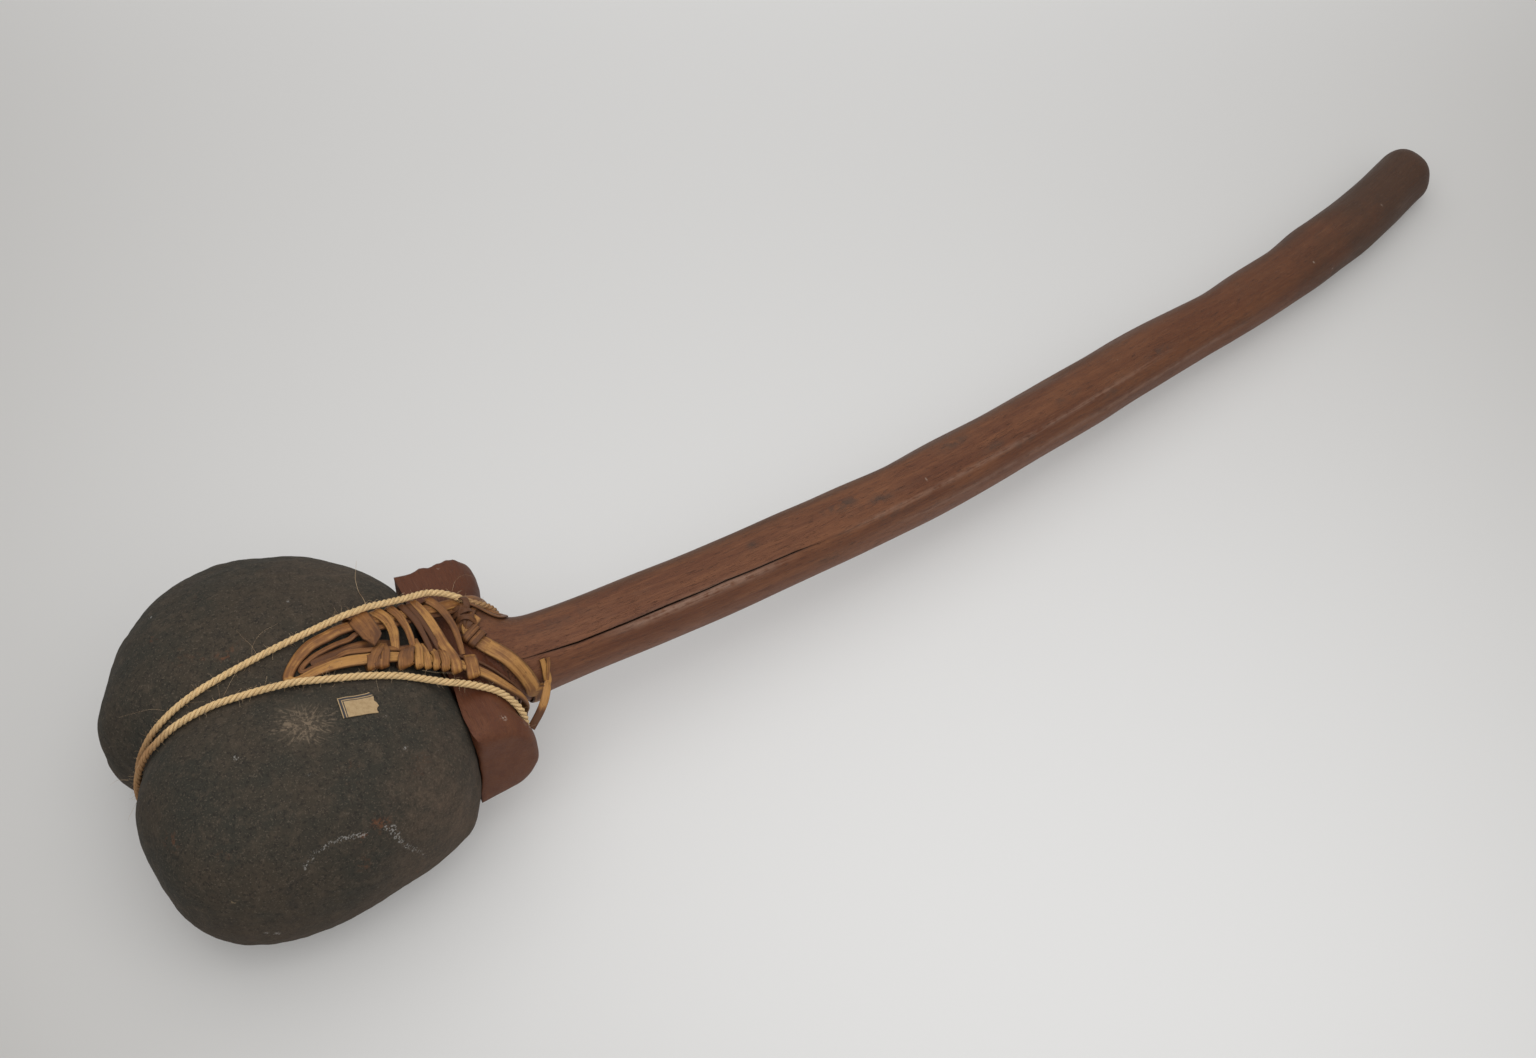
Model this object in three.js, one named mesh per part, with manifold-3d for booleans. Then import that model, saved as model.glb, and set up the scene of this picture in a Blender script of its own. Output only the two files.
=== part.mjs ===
// Stone maul: a grooved stone bound with cane and cord to the crossbar of a T-shaped wooden haft.
import * as THREE from 'three';
import { mergeVertices } from 'three/addons/utils/BufferGeometryUtils.js';
import Module from 'manifold-3d';

// Driving dimensions in millimetres: +X runs along the handle, +Y to the far lobe, +Z up,
// measured from the floor under the middle of the stone's groove.

// Clearance between pieces that bear on each other, and the slack that a bent strip or cord needs
const FIT_GAP = 0.3;
const BEND_EASE = 0.3;

// Stone
const STONE_HALF_WIDTH = 98;
const STONE_CENTRE_HEIGHT = 66;
const STONE_TOP_RISE = 66;
const STONE_NEAR_LENGTH = 114.5;
const STONE_FAR_LENGTH = 113.5;
const STONE_NEAR_SQUARENESS = 4.55;
const STONE_FAR_SQUARENESS = 1.7;
const STONE_UNDER_SQUARENESS = 3.5;
const STONE_SECTION_SQUARENESS = 2.4;
const STONE_FAR_SWELL = 0.03;
const STONE_NEAR_SWAY = 6.2;
const LOBE_BLEND = 40;
const GROOVE_SPREAD = 25;
const GROOVE_OUTER_SPREAD = 20;
const GROOVE_OUTER_SHIFT = 3;
const GROOVE_TOP_DEPTH = 8.5;
const GROOVE_UNDER_DEPTH = 10.5;
const GROOVE_OUTER_DEPTH = 19;
const GROOVE_HAFT_DEPTH = 10;
const SEAT_CUT = 11;
const REST_CUT = 1.2;

// Haft: crossbar and handle are one forked branch
const BAR_NEAR_REACH = 73;
const BAR_FAR_REACH = 51;
const BAR_HALF_HEIGHT = 30;
const BAR_NEAR_DEPTH = 33;
const BAR_FAR_DEPTH = 43;
const BAR_SQUARENESS = 3;
const BAR_FAR_SLANT = 5;
const BAR_EDGE_ROUND = 2.5;
const HANDLE_ROOT = 13;
const HANDLE_OFFSET = 12;
const HANDLE_REACH = 740;
const HANDLE_SWEEP = 135;
const HANDLE_KINK = 5.5;
const HANDLE_KINK_AT = 610;
const HANDLE_KINK_SPAN = 60;
const HANDLE_HEAD_RADIUS = 21.8;
const HANDLE_BUTT_RADIUS = 19.2;
const HANDLE_WAIST = 1.6;
const HANDLE_WAIST_AT = 535;
const HANDLE_WAIST_SPAN = 45;
const NECK_FLARE = 5;
const NECK_FLARE_LENGTH = 30;
const BUTT_ROUND = 10;

// Cane sling: an outer and an inner hoop over the stone and round the back of the crossbar
const CANE_WIDTH = 7;
const CANE_THICKNESS = 2.5;
const INNER_CANE_WIDTH = 4;
const INNER_CANE_THICKNESS = 2.1;
const INNER_TURN_RADIUS = 3;
const SLING_REACH = 77.3;
const SLING_TIP_MIDDLE = -7.5;
const SLING_TIP_RADIUS = 7.5;
const SLING_UNDER_REACH = 25.3;
const SLING_FAR_CLEAR = 3.5;
const SLING_NEAR_CLEAR = 7;
const SLING_NEAR_RUN = 16;
const SLING_FAR_RUN = 10;
const SLING_RUN_TURNS = 3;
const SLING_LIFT_RUN = 14;

// Cane frapping: one strip in turns round both legs of the sling, with a broad band before it
const FRAP_TURNS = 8;
const FRAP_WIDTH = 4.9;
const FRAP_SPACING = 0.7;
const FRAP_THICKNESS = 1.5;
const FRAP_EASE = 1;
const FRAP_END = 17;
const BAND_WIDTH = 10;

// Cane neck strap with its knot and a loose tail
const STRAP_WIDTH = 9;
const STRAP_THICKNESS = 1.8;
const STRAP_NECK = 6;
const STRAP_NEAR_SPAN = 36;
const STRAP_FAR_SPAN = 16;
const STRAP_CREST = 9;
const KNOT_RADIUS = 4.6;
const KNOT_STRAND = 2.3;
const KNOT_FLATNESS = 0.7;
const KNOT_PLACE = 0.24;
const TAIL_WIDTH = 3;
const TAIL_THICKNESS = 1.2;
const TAIL_BOW = 6.5;
const TAIL_SHIFT = 2;
const TAIL_TOP_ANGLE = 0.7;
const TAIL_MIDDLE_ANGLE = 1.1;
const TAIL_SIDE_ANGLE = 1.5;

// Binding cord: two turns side by side on the outer side, spread apart round the crossbar
const CORD_RADIUS = 2.6;
const CORD_KNOT_RADIUS = 3.6;
const CORD_KNOT_HEIGHT = 25;
const CORD_KNOT_FLATNESS = 1;
const CORD_FAR_TOP = [[-95, 0.9], [-40, 4], [20, 6], [60, 8], [100, 17], [118, 19], [135, 18]];
const CORD_FAR_UNDER = [[-95, 0.9], [0, 3.2], [50, 9], [100, 20], [135, 19]];
const CORD_NEAR_TOP = [[-95, -4.7], [-49, -8], [-16, -14], [20, -25], [60, -36], [109, -51], [135, -62]];
const CORD_NEAR_UNDER = [[-95, -4.7], [0, -2.6], [50, -12], [90, -38], [109, -51], [135, -62]];

// Paper label on the near lobe
const LABEL_LENGTH = 18;
const LABEL_WIDTH = 13;
const LABEL_THICKNESS = 0.5;
const LABEL_X = 30.5;
const LABEL_Y = -49;
const LABEL_TURN = -0.12;

// Places that follow from the sizes above
const seatX = STONE_HALF_WIDTH - SEAT_CUT;
const barFaceX = seatX + FIT_GAP;
const barMiddle = STONE_CENTRE_HEIGHT;
const handleStartX = barFaceX + HANDLE_ROOT;
const slingTipX = barFaceX - SLING_REACH;
const slingUnderX = barFaceX - SLING_UNDER_REACH;
const frapPitch = FRAP_WIDTH + FRAP_SPACING;
const frapEndX = barFaceX + FRAP_END;
const frapStartX = frapEndX - FRAP_TURNS * frapPitch;
const bandX = frapStartX - frapPitch / 2 - FRAP_SPACING - BAND_WIDTH / 2;

const wasm = await Module();
wasm.setup();

// Mesh helpers

function bare(geometry) {
  geometry.deleteAttribute('normal');
  geometry.deleteAttribute('uv');
  return mergeVertices(geometry);
}

function solid(geometry) {
  const merged = bare(geometry);
  const mesh = new wasm.Mesh({
    numProp: 3,
    vertProperties: new Float32Array(merged.attributes.position.array),
    triVerts: new Uint32Array(merged.index.array),
  });
  return new wasm.Manifold(mesh);
}

function geometryOf(manifold) {
  const mesh = manifold.getMesh();
  const geometry = new THREE.BufferGeometry();
  geometry.setAttribute('position', new THREE.BufferAttribute(mesh.vertProperties, 3));
  geometry.setIndex(new THREE.BufferAttribute(mesh.triVerts, 1));
  return geometry;
}

function deform(geometry, place) {
  const position = geometry.attributes.position;
  const vertex = new THREE.Vector3();
  for (let k = 0; k < position.count; k += 1) {
    vertex.fromBufferAttribute(position, k);
    const moved = place(vertex.clone());
    position.setXYZ(k, moved.x, moved.y, moved.z);
  }
  return geometry;
}

function power(value, exponent) {
  return Math.sign(value) * Math.abs(value) ** exponent;
}

function bell(value, spread) {
  return Math.exp(-((value / spread) ** 2));
}

function blend(from, to, share) {
  return from + (to - from) * share;
}

function ease(value, start, end) {
  return THREE.MathUtils.smoothstep(value, start, end);
}

// Height of a surface over or under a point of the plan
function surfaceHeight(geometry, x, y, upward) {
  const position = geometry.attributes.position;
  const index = geometry.index;
  const corners = [new THREE.Vector3(), new THREE.Vector3(), new THREE.Vector3()];
  let height = upward ? -Infinity : Infinity;
  for (let k = 0; k < index.count; k += 3) {
    corners.forEach((corner, c) => corner.fromBufferAttribute(position, index.getX(k + c)));
    const [a, b, c] = corners;
    const area = (b.x - a.x) * (c.y - a.y) - (c.x - a.x) * (b.y - a.y);
    const shareB = ((x - a.x) * (c.y - a.y) - (c.x - a.x) * (y - a.y)) / area;
    const shareC = ((b.x - a.x) * (y - a.y) - (x - a.x) * (b.y - a.y)) / area;
    if (shareB >= 0 && shareC >= 0 && shareB + shareC <= 1) {
      const z = a.z + shareB * (b.z - a.z) + shareC * (c.z - a.z);
      height = upward ? Math.max(height, z) : Math.min(height, z);
    }
  }
  return height;
}

// Taut paths

// Points where the surfaces lie within half a width of a curved sheet, in the sheet's own plane
function sheetSection(geometries, sheet, halfWidth) {
  const found = [];
  const ends = [new THREE.Vector3(), new THREE.Vector3()];
  for (const geometry of geometries) {
    const position = geometry.attributes.position;
    const index = geometry.index;
    for (let k = 0; k < index.count; k += 1) {
      const next = k % 3 === 2 ? k - 2 : k + 1;
      ends[0].fromBufferAttribute(position, index.getX(k));
      ends[1].fromBufferAttribute(position, index.getX(next));
      const a = sheet.flatten(ends[0]);
      const b = sheet.flatten(ends[1]);
      if (Math.abs(a.off) <= halfWidth) {
        found.push(a);
      }
      for (const level of [-halfWidth, 0, halfWidth]) {
        if ((a.off - level) * (b.off - level) < 0) {
          const share = (level - a.off) / (b.off - a.off);
          found.push({ u: blend(a.u, b.u, share), v: blend(a.v, b.v, share) });
        }
      }
    }
  }
  return found;
}

// The loop that a string pulled tight round those points would take, with a stand-off
function tautLoop(geometries, sheet, halfWidth, standOff) {
  const points = sheetSection(geometries, sheet, halfWidth);
  const directions = 360;
  const stations = [];
  for (let k = 0; k < directions; k += 1) {
    const angle = (2 * Math.PI * k) / directions;
    const du = Math.cos(angle);
    const dv = Math.sin(angle);
    let best = points[0];
    for (const point of points) {
      if (point.u * du + point.v * dv > best.u * du + best.v * dv) {
        best = point;
      }
    }
    const away = standOff(best.u, dv);
    stations.push({
      point: sheet.place(best.u + du * away, best.v + dv * away),
      normal: sheet.direction(du, dv),
    });
  }
  return stations;
}

function evenly(stations, count, closed) {
  const chain = closed ? [...stations, stations[0]] : stations;
  const along = [0];
  for (let k = 1; k < chain.length; k += 1) {
    along.push(along[k - 1] + chain[k].point.distanceTo(chain[k - 1].point));
  }
  const total = along[along.length - 1];
  const spacing = total / (closed ? count : count - 1);
  const result = [];
  let k = 1;
  for (let n = 0; n < count; n += 1) {
    const target = Math.min(n * spacing, total);
    while (k < chain.length - 1 && along[k] < target) {
      k += 1;
    }
    const share = (target - along[k - 1]) / Math.max(along[k] - along[k - 1], Number.EPSILON);
    result.push({
      point: chain[k - 1].point.clone().lerp(chain[k].point, share),
      normal: chain[k - 1].normal.clone().lerp(chain[k].normal, share),
    });
  }
  return result;
}

// An upright sheet whose plan line differs above and below the middle of the stone
function uprightSheet(topLine, underLine) {
  const line = (x, z) => (z >= STONE_CENTRE_HEIGHT ? topLine(x) : underLine(x));
  return {
    flatten: (point) => ({ u: point.x, v: point.z, off: point.y - line(point.x, point.z) }),
    place: (u, v) => new THREE.Vector3(u, line(u, v), v),
    direction: (du, dv) => new THREE.Vector3(du, 0, dv),
  };
}

// A smooth plan line through a few points, level beyond its ends
function planLine(points) {
  const last = points.length - 1;
  return (x) => {
    const inside = THREE.MathUtils.clamp(x, points[0][0], points[last][0]);
    let k = 0;
    while (k < last - 1 && inside > points[k + 1][0]) {
      k += 1;
    }
    const slope = (n) => {
      const before = points[Math.max(n - 1, 0)];
      const after = points[Math.min(n + 1, last)];
      return (after[1] - before[1]) / (after[0] - before[0]);
    };
    const [x0, y0] = points[k];
    const [x1, y1] = points[k + 1];
    const run = x1 - x0;
    const t = (inside - x0) / run;
    const startPart = y0 * (1 + 2 * t) + slope(k) * run * t;
    const endPart = y1 * (3 - 2 * t) - slope(k + 1) * run * (1 - t);
    return startPart * (1 - t) ** 2 + endPart * t ** 2;
  };
}

// Swept strips and cords

const roundSection = (radius) => (out, side) => [out * radius, side * radius];
const stripSection = (width, thickness) => (out, side) => [
  ((out - side) * thickness) / 2,
  ((out + side) * width) / 2,
];
const STRIP_SIDES = 4;
const CORD_SIDES = 8;
const SLING_STEPS = 96;
const BAND_STEPS = 28;
const STRAP_STEPS = 48;
const CORD_STEPS = 80;
const KNOT_STEPS = 40;
const KNOT_SIDES = 6;

function sweep(path, sides, section, closed) {
  const count = path.length;
  const steps = closed ? count : count - 1;
  const frames = path.map((station, k) => {
    const before = path[closed ? (k + count - 1) % count : Math.max(k - 1, 0)].point;
    const after = path[closed ? (k + 1) % count : Math.min(k + 1, count - 1)].point;
    const forward = after.clone().sub(before).normalize();
    const out = station.normal.clone();
    out.addScaledVector(forward, -out.dot(forward)).normalize();
    return { point: station.point, out, side: out.clone().cross(forward) };
  });
  const at = (frame, out, side) => {
    const [high, wide] = section(out, side);
    return frame.point.clone().addScaledVector(frame.out, high).addScaledVector(frame.side, wide);
  };
  if (closed) {
    const ringRadius = 2;
    return deform(new THREE.TorusGeometry(ringRadius, 1, sides, steps), (vertex) => {
      const turn = Math.atan2(vertex.y, vertex.x) / (2 * Math.PI);
      const k = (Math.round(turn * steps) + steps) % steps;
      return at(frames[k], Math.hypot(vertex.x, vertex.y) - ringRadius, vertex.z);
    });
  }
  return deform(new THREE.CylinderGeometry(1, 1, 1, sides, steps), (vertex) => {
    const k = Math.round((vertex.y + 0.5) * steps);
    return at(frames[k], vertex.x, vertex.z);
  });
}

// Stone: two lobes with a groove between, a flat seat for the haft and flat spots to rest on

function lobeProfile(share, y, squareness, groove) {
  const round = Math.sqrt(Math.max(1 - Math.abs(share) ** squareness, 0));
  return round * (1 - groove.depth * bell(y - groove.shift, groove.spread));
}

function underPeak(length, squareness) {
  const samples = 200;
  const groove = { depth: GROOVE_UNDER_DEPTH / STONE_CENTRE_HEIGHT, spread: GROOVE_SPREAD, shift: 0 };
  let peak = 0;
  for (let k = 0; k < samples; k += 1) {
    const share = k / samples;
    peak = Math.max(peak, lobeProfile(share, share * length, squareness, groove));
  }
  return peak;
}

function makeStone() {
  const nearPeak = underPeak(STONE_NEAR_LENGTH, STONE_NEAR_SQUARENESS);
  const farPeak = underPeak(STONE_FAR_LENGTH, STONE_UNDER_SQUARENESS);
  const body = deform(new THREE.SphereGeometry(1, 36, 28), (vertex) => {
    const ring = Math.max(Math.hypot(vertex.x, vertex.z), Number.EPSILON);
    const across = vertex.x / ring;
    const up = vertex.z / ring;
    const isNear = vertex.y < 0;
    const squareness = isNear ? STONE_NEAR_SQUARENESS : STONE_FAR_SQUARENESS;
    const share = power(vertex.y, 2 / squareness);
    const y = share * (isNear ? STONE_NEAR_LENGTH : STONE_FAR_LENGTH);
    const lobe = Math.tanh(y / LOBE_BLEND);
    const swell = 1 + STONE_FAR_SWELL * lobe;
    const sideDepth = across < 0 ? GROOVE_OUTER_DEPTH : GROOVE_HAFT_DEPTH;
    const flatDepth = up > 0 ? GROOVE_TOP_DEPTH : GROOVE_UNDER_DEPTH;
    const sideShare = sideDepth / STONE_HALF_WIDTH;
    const flatShare = flatDepth / STONE_CENTRE_HEIGHT;
    const sideSpread = across < 0 ? GROOVE_OUTER_SPREAD : GROOVE_SPREAD;
    const groove = {
      depth: blend(flatShare, sideShare, across ** 2),
      spread: blend(GROOVE_SPREAD, sideSpread, across ** 2),
      shift: across < 0 ? GROOVE_OUTER_SHIFT * across ** 2 : 0,
    };
    const profile = lobeProfile(share, y, squareness, groove);
    const underSquareness = isNear ? STONE_NEAR_SQUARENESS : STONE_UNDER_SQUARENESS;
    const underProfile = lobeProfile(share, y, underSquareness, groove);
    const underDepth = (STONE_CENTRE_HEIGHT + REST_CUT) / blend(nearPeak, farPeak, (1 + lobe) / 2);
    const sway = isNear ? STONE_NEAR_SWAY * share : 0;
    const bulge = power(across, 2 / STONE_SECTION_SQUARENESS);
    const rise = power(up, 2 / STONE_SECTION_SQUARENESS);
    const x = STONE_HALF_WIDTH * swell * profile * bulge + sway;
    const lift = up > 0 ? STONE_TOP_RISE * swell * profile : underDepth * underProfile;
    return new THREE.Vector3(x, y, STONE_CENTRE_HEIGHT + lift * rise);
  });
  const reach = 4 * (STONE_HALF_WIDTH + STONE_NEAR_LENGTH + STONE_FAR_LENGTH);
  const floor = new THREE.BoxGeometry(reach, reach, reach).translate(0, 0, -reach / 2);
  const seat = new THREE.BoxGeometry(reach, reach, reach).translate(seatX + reach / 2, 0, 0);
  return geometryOf(solid(body).subtract(solid(floor)).subtract(solid(seat)));
}

// Haft: a D-shaped crossbar with its flat side to the stone, and a swept, tapering handle

function barDepth(y) {
  const share = (y + BAR_NEAR_REACH) / (BAR_NEAR_REACH + BAR_FAR_REACH);
  return blend(BAR_NEAR_DEPTH, BAR_FAR_DEPTH, THREE.MathUtils.clamp(share, 0, 1));
}

function makeCrossbar() {
  const rings = 10;
  const capMiddle = 0.4;
  return deform(new THREE.CylinderGeometry(1, 1, 1, 24, rings), (vertex) => {
    const ring = Math.hypot(vertex.x, vertex.z);
    const step = Math.round((vertex.y + 0.5) * rings);
    const isEnd = step === 0 || step === rings;
    const inner = (step - 1) / (rings - 2);
    const innerNear = -BAR_NEAR_REACH + BAR_EDGE_ROUND;
    const innerFar = BAR_FAR_REACH - BAR_EDGE_ROUND;
    const innerY = blend(innerNear, innerFar, THREE.MathUtils.clamp(inner, 0, 1));
    const endY = step === 0 ? -BAR_NEAR_REACH : BAR_FAR_REACH;
    const y = isEnd ? endY : innerY;
    const shrink = isEnd ? 1 - BAR_EDGE_ROUND / BAR_HALF_HEIGHT : 1;
    const depth = barDepth(y);
    const outward = ring > 0 ? Math.max(vertex.x, 0) ** (2 / BAR_SQUARENESS) * shrink : capMiddle;
    const rise = power(vertex.z, 2 / BAR_SQUARENESS) * shrink;
    const slant = ease(y, 0, BAR_FAR_REACH) * BAR_FAR_SLANT * outward;
    const height = barMiddle + BAR_HALF_HEIGHT * rise;
    return new THREE.Vector3(barFaceX + depth * outward, y - slant, height);
  });
}

function handleCentre(along) {
  const share = along / HANDLE_REACH;
  const kink = HANDLE_KINK * bell(along - HANDLE_KINK_AT, HANDLE_KINK_SPAN);
  const y = -HANDLE_OFFSET + HANDLE_SWEEP * share ** 2 - kink;
  const z = blend(barMiddle, HANDLE_BUTT_RADIUS, along / (HANDLE_REACH - BUTT_ROUND));
  return new THREE.Vector3(handleStartX + along, y, z);
}

function handleRadius(along) {
  const taper = blend(HANDLE_HEAD_RADIUS, HANDLE_BUTT_RADIUS, along / HANDLE_REACH);
  const flare = NECK_FLARE * bell(along, NECK_FLARE_LENGTH);
  return taper + flare - HANDLE_WAIST * bell(along - HANDLE_WAIST_AT, HANDLE_WAIST_SPAN);
}

function makeHandle() {
  const rings = 36;
  const roundRings = 4;
  const straight = HANDLE_REACH - BUTT_ROUND;
  const buttFlat = 0.45;
  return deform(new THREE.CylinderGeometry(1, 1, 1, 20, rings), (vertex) => {
    const step = (vertex.y + 0.5) * rings;
    const turn = Math.max(step - (rings - roundRings), 0) / roundRings;
    const body = Math.min(step / (rings - roundRings), 1) * straight;
    const along = body + BUTT_ROUND * Math.sin((turn * Math.PI) / 2);
    const radius = handleRadius(along) * blend(1, buttFlat, 1 - Math.cos((turn * Math.PI) / 2));
    const centre = handleCentre(along);
    const forward = handleCentre(along + 1).sub(handleCentre(along - 1)).normalize();
    const side = forward.clone().cross(new THREE.Vector3(0, 0, 1)).normalize();
    const up = side.clone().cross(forward);
    return centre.addScaledVector(side, radius * vertex.x).addScaledVector(up, radius * vertex.z);
  });
}

function makeHaft(crossbar) {
  return geometryOf(solid(crossbar).add(solid(makeHandle())));
}

// Cane sling

const legSlope = (legY, tipY) => (legY - tipY) / (frapEndX - slingTipX);
const farTipY = SLING_TIP_MIDDLE + SLING_TIP_RADIUS;
const nearTipY = SLING_TIP_MIDDLE - SLING_TIP_RADIUS;
const farSlope = legSlope(HANDLE_HEAD_RADIUS + SLING_FAR_CLEAR - HANDLE_OFFSET, farTipY);
const nearSlope = legSlope(SLING_NEAR_CLEAR - HANDLE_HEAD_RADIUS - HANDLE_OFFSET, nearTipY);
const innerInset = (CANE_WIDTH + INNER_CANE_WIDTH) / 2 + FIT_GAP + BEND_EASE;
const innerShortfall = 2 * (INNER_TURN_RADIUS + innerInset - SLING_TIP_RADIUS);
const innerTip = slingTipX + innerShortfall / (farSlope - nearSlope);

function legLines(inset) {
  const nearSpread = (x) => ease(x, frapEndX - SLING_RUN_TURNS * frapPitch, barFaceX + BAR_NEAR_DEPTH);
  const farSpread = (x) => ease(x, frapEndX - frapPitch, barFaceX + BAR_FAR_DEPTH);
  return {
    far: (x) => farTipY + farSlope * (x - slingTipX) + SLING_FAR_RUN * farSpread(x) - inset,
    near: (x) => nearTipY + nearSlope * (x - slingTipX) - SLING_NEAR_RUN * nearSpread(x) + inset,
  };
}

// One leg of the outer hoop: under the stone, round the back of the crossbar and over the stone
function outerLeg(stone, crossbar, line) {
  const rest = FIT_GAP + CANE_THICKNESS / 2;
  const liftedX = bandX - BAND_WIDTH / 2 - 2 * FRAP_SPACING;
  const topFacing = 0.3;
  const standOff = (x, upward) => {
    const onTop = ease(upward, 0, topFacing);
    const lifted = ease(x, liftedX - SLING_LIFT_RUN, liftedX);
    return rest + (FRAP_THICKNESS + FIT_GAP + FRAP_EASE) * onTop * lifted;
  };
  const reach = CANE_WIDTH / 2 + INNER_CANE_WIDTH + 2 * FIT_GAP;
  const loop = tautLoop([stone, crossbar], uprightSheet(line, line), reach, standOff);
  const quarter = loop.length / 4;
  return [...loop.slice(-quarter), ...loop.slice(0, quarter + 1)];
}

// The same leg moved sideways in plan, by a distance square to its line
function besideLeg(leg, line, distance) {
  return leg.map(({ point, normal }) => {
    const slope = line(point.x + 0.5) - line(point.x - 0.5);
    const moved = new THREE.Vector3(point.x, point.y + distance * Math.hypot(1, slope), point.z);
    return { point: moved, normal };
  });
}

// The half turn that joins the two legs, laid on the stone
function slingTurn(stone, lines, x, width, thickness, upward) {
  const middle = (lines.far(x) + lines.near(x)) / 2;
  const radius = (lines.far(x) - lines.near(x)) / 2;
  const outward = upward ? 1 : -1;
  const height = (r, angle) => {
    return surfaceHeight(stone, x + r * Math.cos(angle), middle + r * Math.sin(angle), upward);
  };
  const stations = [];
  const parts = 12;
  const nudge = width / (2 * radius);
  for (let k = 1; k < parts; k += 1) {
    const angle = Math.PI / 2 + (Math.PI * k) / parts;
    const radial = new THREE.Vector3(Math.cos(angle), Math.sin(angle), 0);
    const inner = height(radius - width / 2, angle);
    const outer = height(radius + width / 2, angle);
    const sideSlope = (outer - inner) / width;
    const forwardSlope = (height(radius, angle + nudge) - height(radius, angle - nudge)) / width;
    const forward = new THREE.Vector3(-radial.y, radial.x, 0);
    const normal = new THREE.Vector3(0, 0, 1);
    normal.addScaledVector(radial, -sideSlope).addScaledVector(forward, -forwardSlope).normalize();
    normal.multiplyScalar(outward);
    const edge = (inner + outer) / 2;
    const centre = height(radius, angle);
    const point = radial.clone().multiplyScalar(radius).add(new THREE.Vector3(x, middle, 0));
    point.z = upward ? Math.max(edge, centre) : Math.min(edge, centre);
    point.addScaledVector(normal, FIT_GAP + BEND_EASE + thickness / 2);
    stations.push({ point, normal });
  }
  return stations;
}

function slingLoop(stone, farLeg, nearLeg, inset, width, thickness, tipX) {
  const lines = legLines(inset);
  const isKept = ({ point, normal }) => point.x >= (normal.z > 0 ? tipX : slingUnderX);
  const far = farLeg.filter(isKept);
  const near = nearLeg.filter(isKept).reverse();
  const top = slingTurn(stone, lines, tipX, width, thickness, true);
  const under = slingTurn(stone, lines, slingUnderX, width, thickness, false).reverse();
  const path = evenly([...far, ...top, ...near, ...under], SLING_STEPS, true);
  return bare(sweep(path, STRIP_SIDES, stripSection(width, thickness), true));
}

// A leg's place on top of the lashing at a distance along X
function legAt(leg, x) {
  const top = leg.filter(({ normal }) => normal.z > 0);
  const chain = top.sort((a, b) => a.point.x - b.point.x);
  let k = 1;
  while (k < chain.length - 1 && chain[k].point.x < x) {
    k += 1;
  }
  const a = chain[k - 1].point;
  const b = chain[k].point;
  return a.clone().lerp(b, (x - a.x) / (b.x - a.x));
}

// Frapping: turns of strip round both legs, each turn a long loop with round ends

const frapRadius = CANE_THICKNESS / 2 + FRAP_EASE + FRAP_THICKNESS / 2;

function frapStation(legs, x, turn) {
  const middleAt = (place) => legAt(legs.far, place).add(legAt(legs.near, place)).multiplyScalar(0.5);
  const middle = middleAt(x);
  const forward = middleAt(x + frapPitch / 2).sub(middleAt(x - frapPitch / 2)).normalize();
  const across = legAt(legs.far, x).sub(legAt(legs.near, x));
  across.addScaledVector(forward, -across.dot(forward));
  const half = across.length() / 2 + CANE_WIDTH / 2 + FRAP_EASE;
  across.normalize();
  const up = forward.cross(across).normalize();
  const straight = 2 * half;
  const round = Math.PI * frapRadius;
  const along = (turn - Math.floor(turn)) * 2 * (straight + round);
  let u = 0;
  let angle = 0;
  if (along < straight) {
    u = half - along;
    angle = Math.PI / 2;
  } else if (along < straight + round) {
    u = -half;
    angle = Math.PI / 2 + (along - straight) / frapRadius;
  } else if (along < 2 * straight + round) {
    u = along - straight - round - half;
    angle = -Math.PI / 2;
  } else {
    u = half;
    angle = (along - 2 * straight - round) / frapRadius - Math.PI / 2;
  }
  const normal = across.clone().multiplyScalar(Math.cos(angle)).addScaledVector(up, Math.sin(angle));
  const point = middle.addScaledVector(across, u).addScaledVector(normal, frapRadius);
  return { point, normal };
}

function makeFrapping(legs) {
  const stationsPerTurn = 60;
  const stripsPerTurn = 24;
  const stations = [];
  for (let k = 0; k <= FRAP_TURNS * stationsPerTurn; k += 1) {
    const turn = k / stationsPerTurn;
    stations.push(frapStation(legs, frapStartX + turn * frapPitch, turn));
  }
  const path = evenly(stations, FRAP_TURNS * stripsPerTurn, false);
  return bare(sweep(path, STRIP_SIDES, stripSection(FRAP_WIDTH, FRAP_THICKNESS), false));
}

function makeBand(legs) {
  const stations = [];
  const parts = 60;
  for (let k = 0; k < parts; k += 1) {
    stations.push(frapStation(legs, bandX, k / parts));
  }
  const path = evenly(stations, BAND_STEPS, true);
  return bare(sweep(path, STRIP_SIDES, stripSection(BAND_WIDTH, FRAP_THICKNESS), true));
}

// A trefoil knot of round strand lying flat on a surface
const TREFOIL_WINDS = 2;
const TREFOIL_LOOPS = 3;
const TREFOIL_REACH = 1.5;
const TREFOIL_RISE = 0.5;

function makeTrefoil(radius, strand, flatness, place, out) {
  const knot = new THREE.TorusKnotGeometry(
    radius, strand, KNOT_STEPS, KNOT_SIDES, TREFOIL_WINDS, TREFOIL_LOOPS,
  );
  knot.scale(1, 1, flatness);
  knot.applyQuaternion(new THREE.Quaternion().setFromUnitVectors(new THREE.Vector3(0, 0, 1), out));
  return knot.translate(place.x, place.y, place.z);
}

// Neck strap: from a crest on the crossbar it drops into both crooks and passes under the neck

const knotX = frapEndX + FRAP_WIDTH / 2 + FIT_GAP + TREFOIL_REACH * KNOT_RADIUS + KNOT_STRAND;
const strapNeckX = barFaceX + BAR_FAR_DEPTH + STRAP_NECK;
const crestY = STRAP_CREST - HANDLE_OFFSET;

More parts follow.
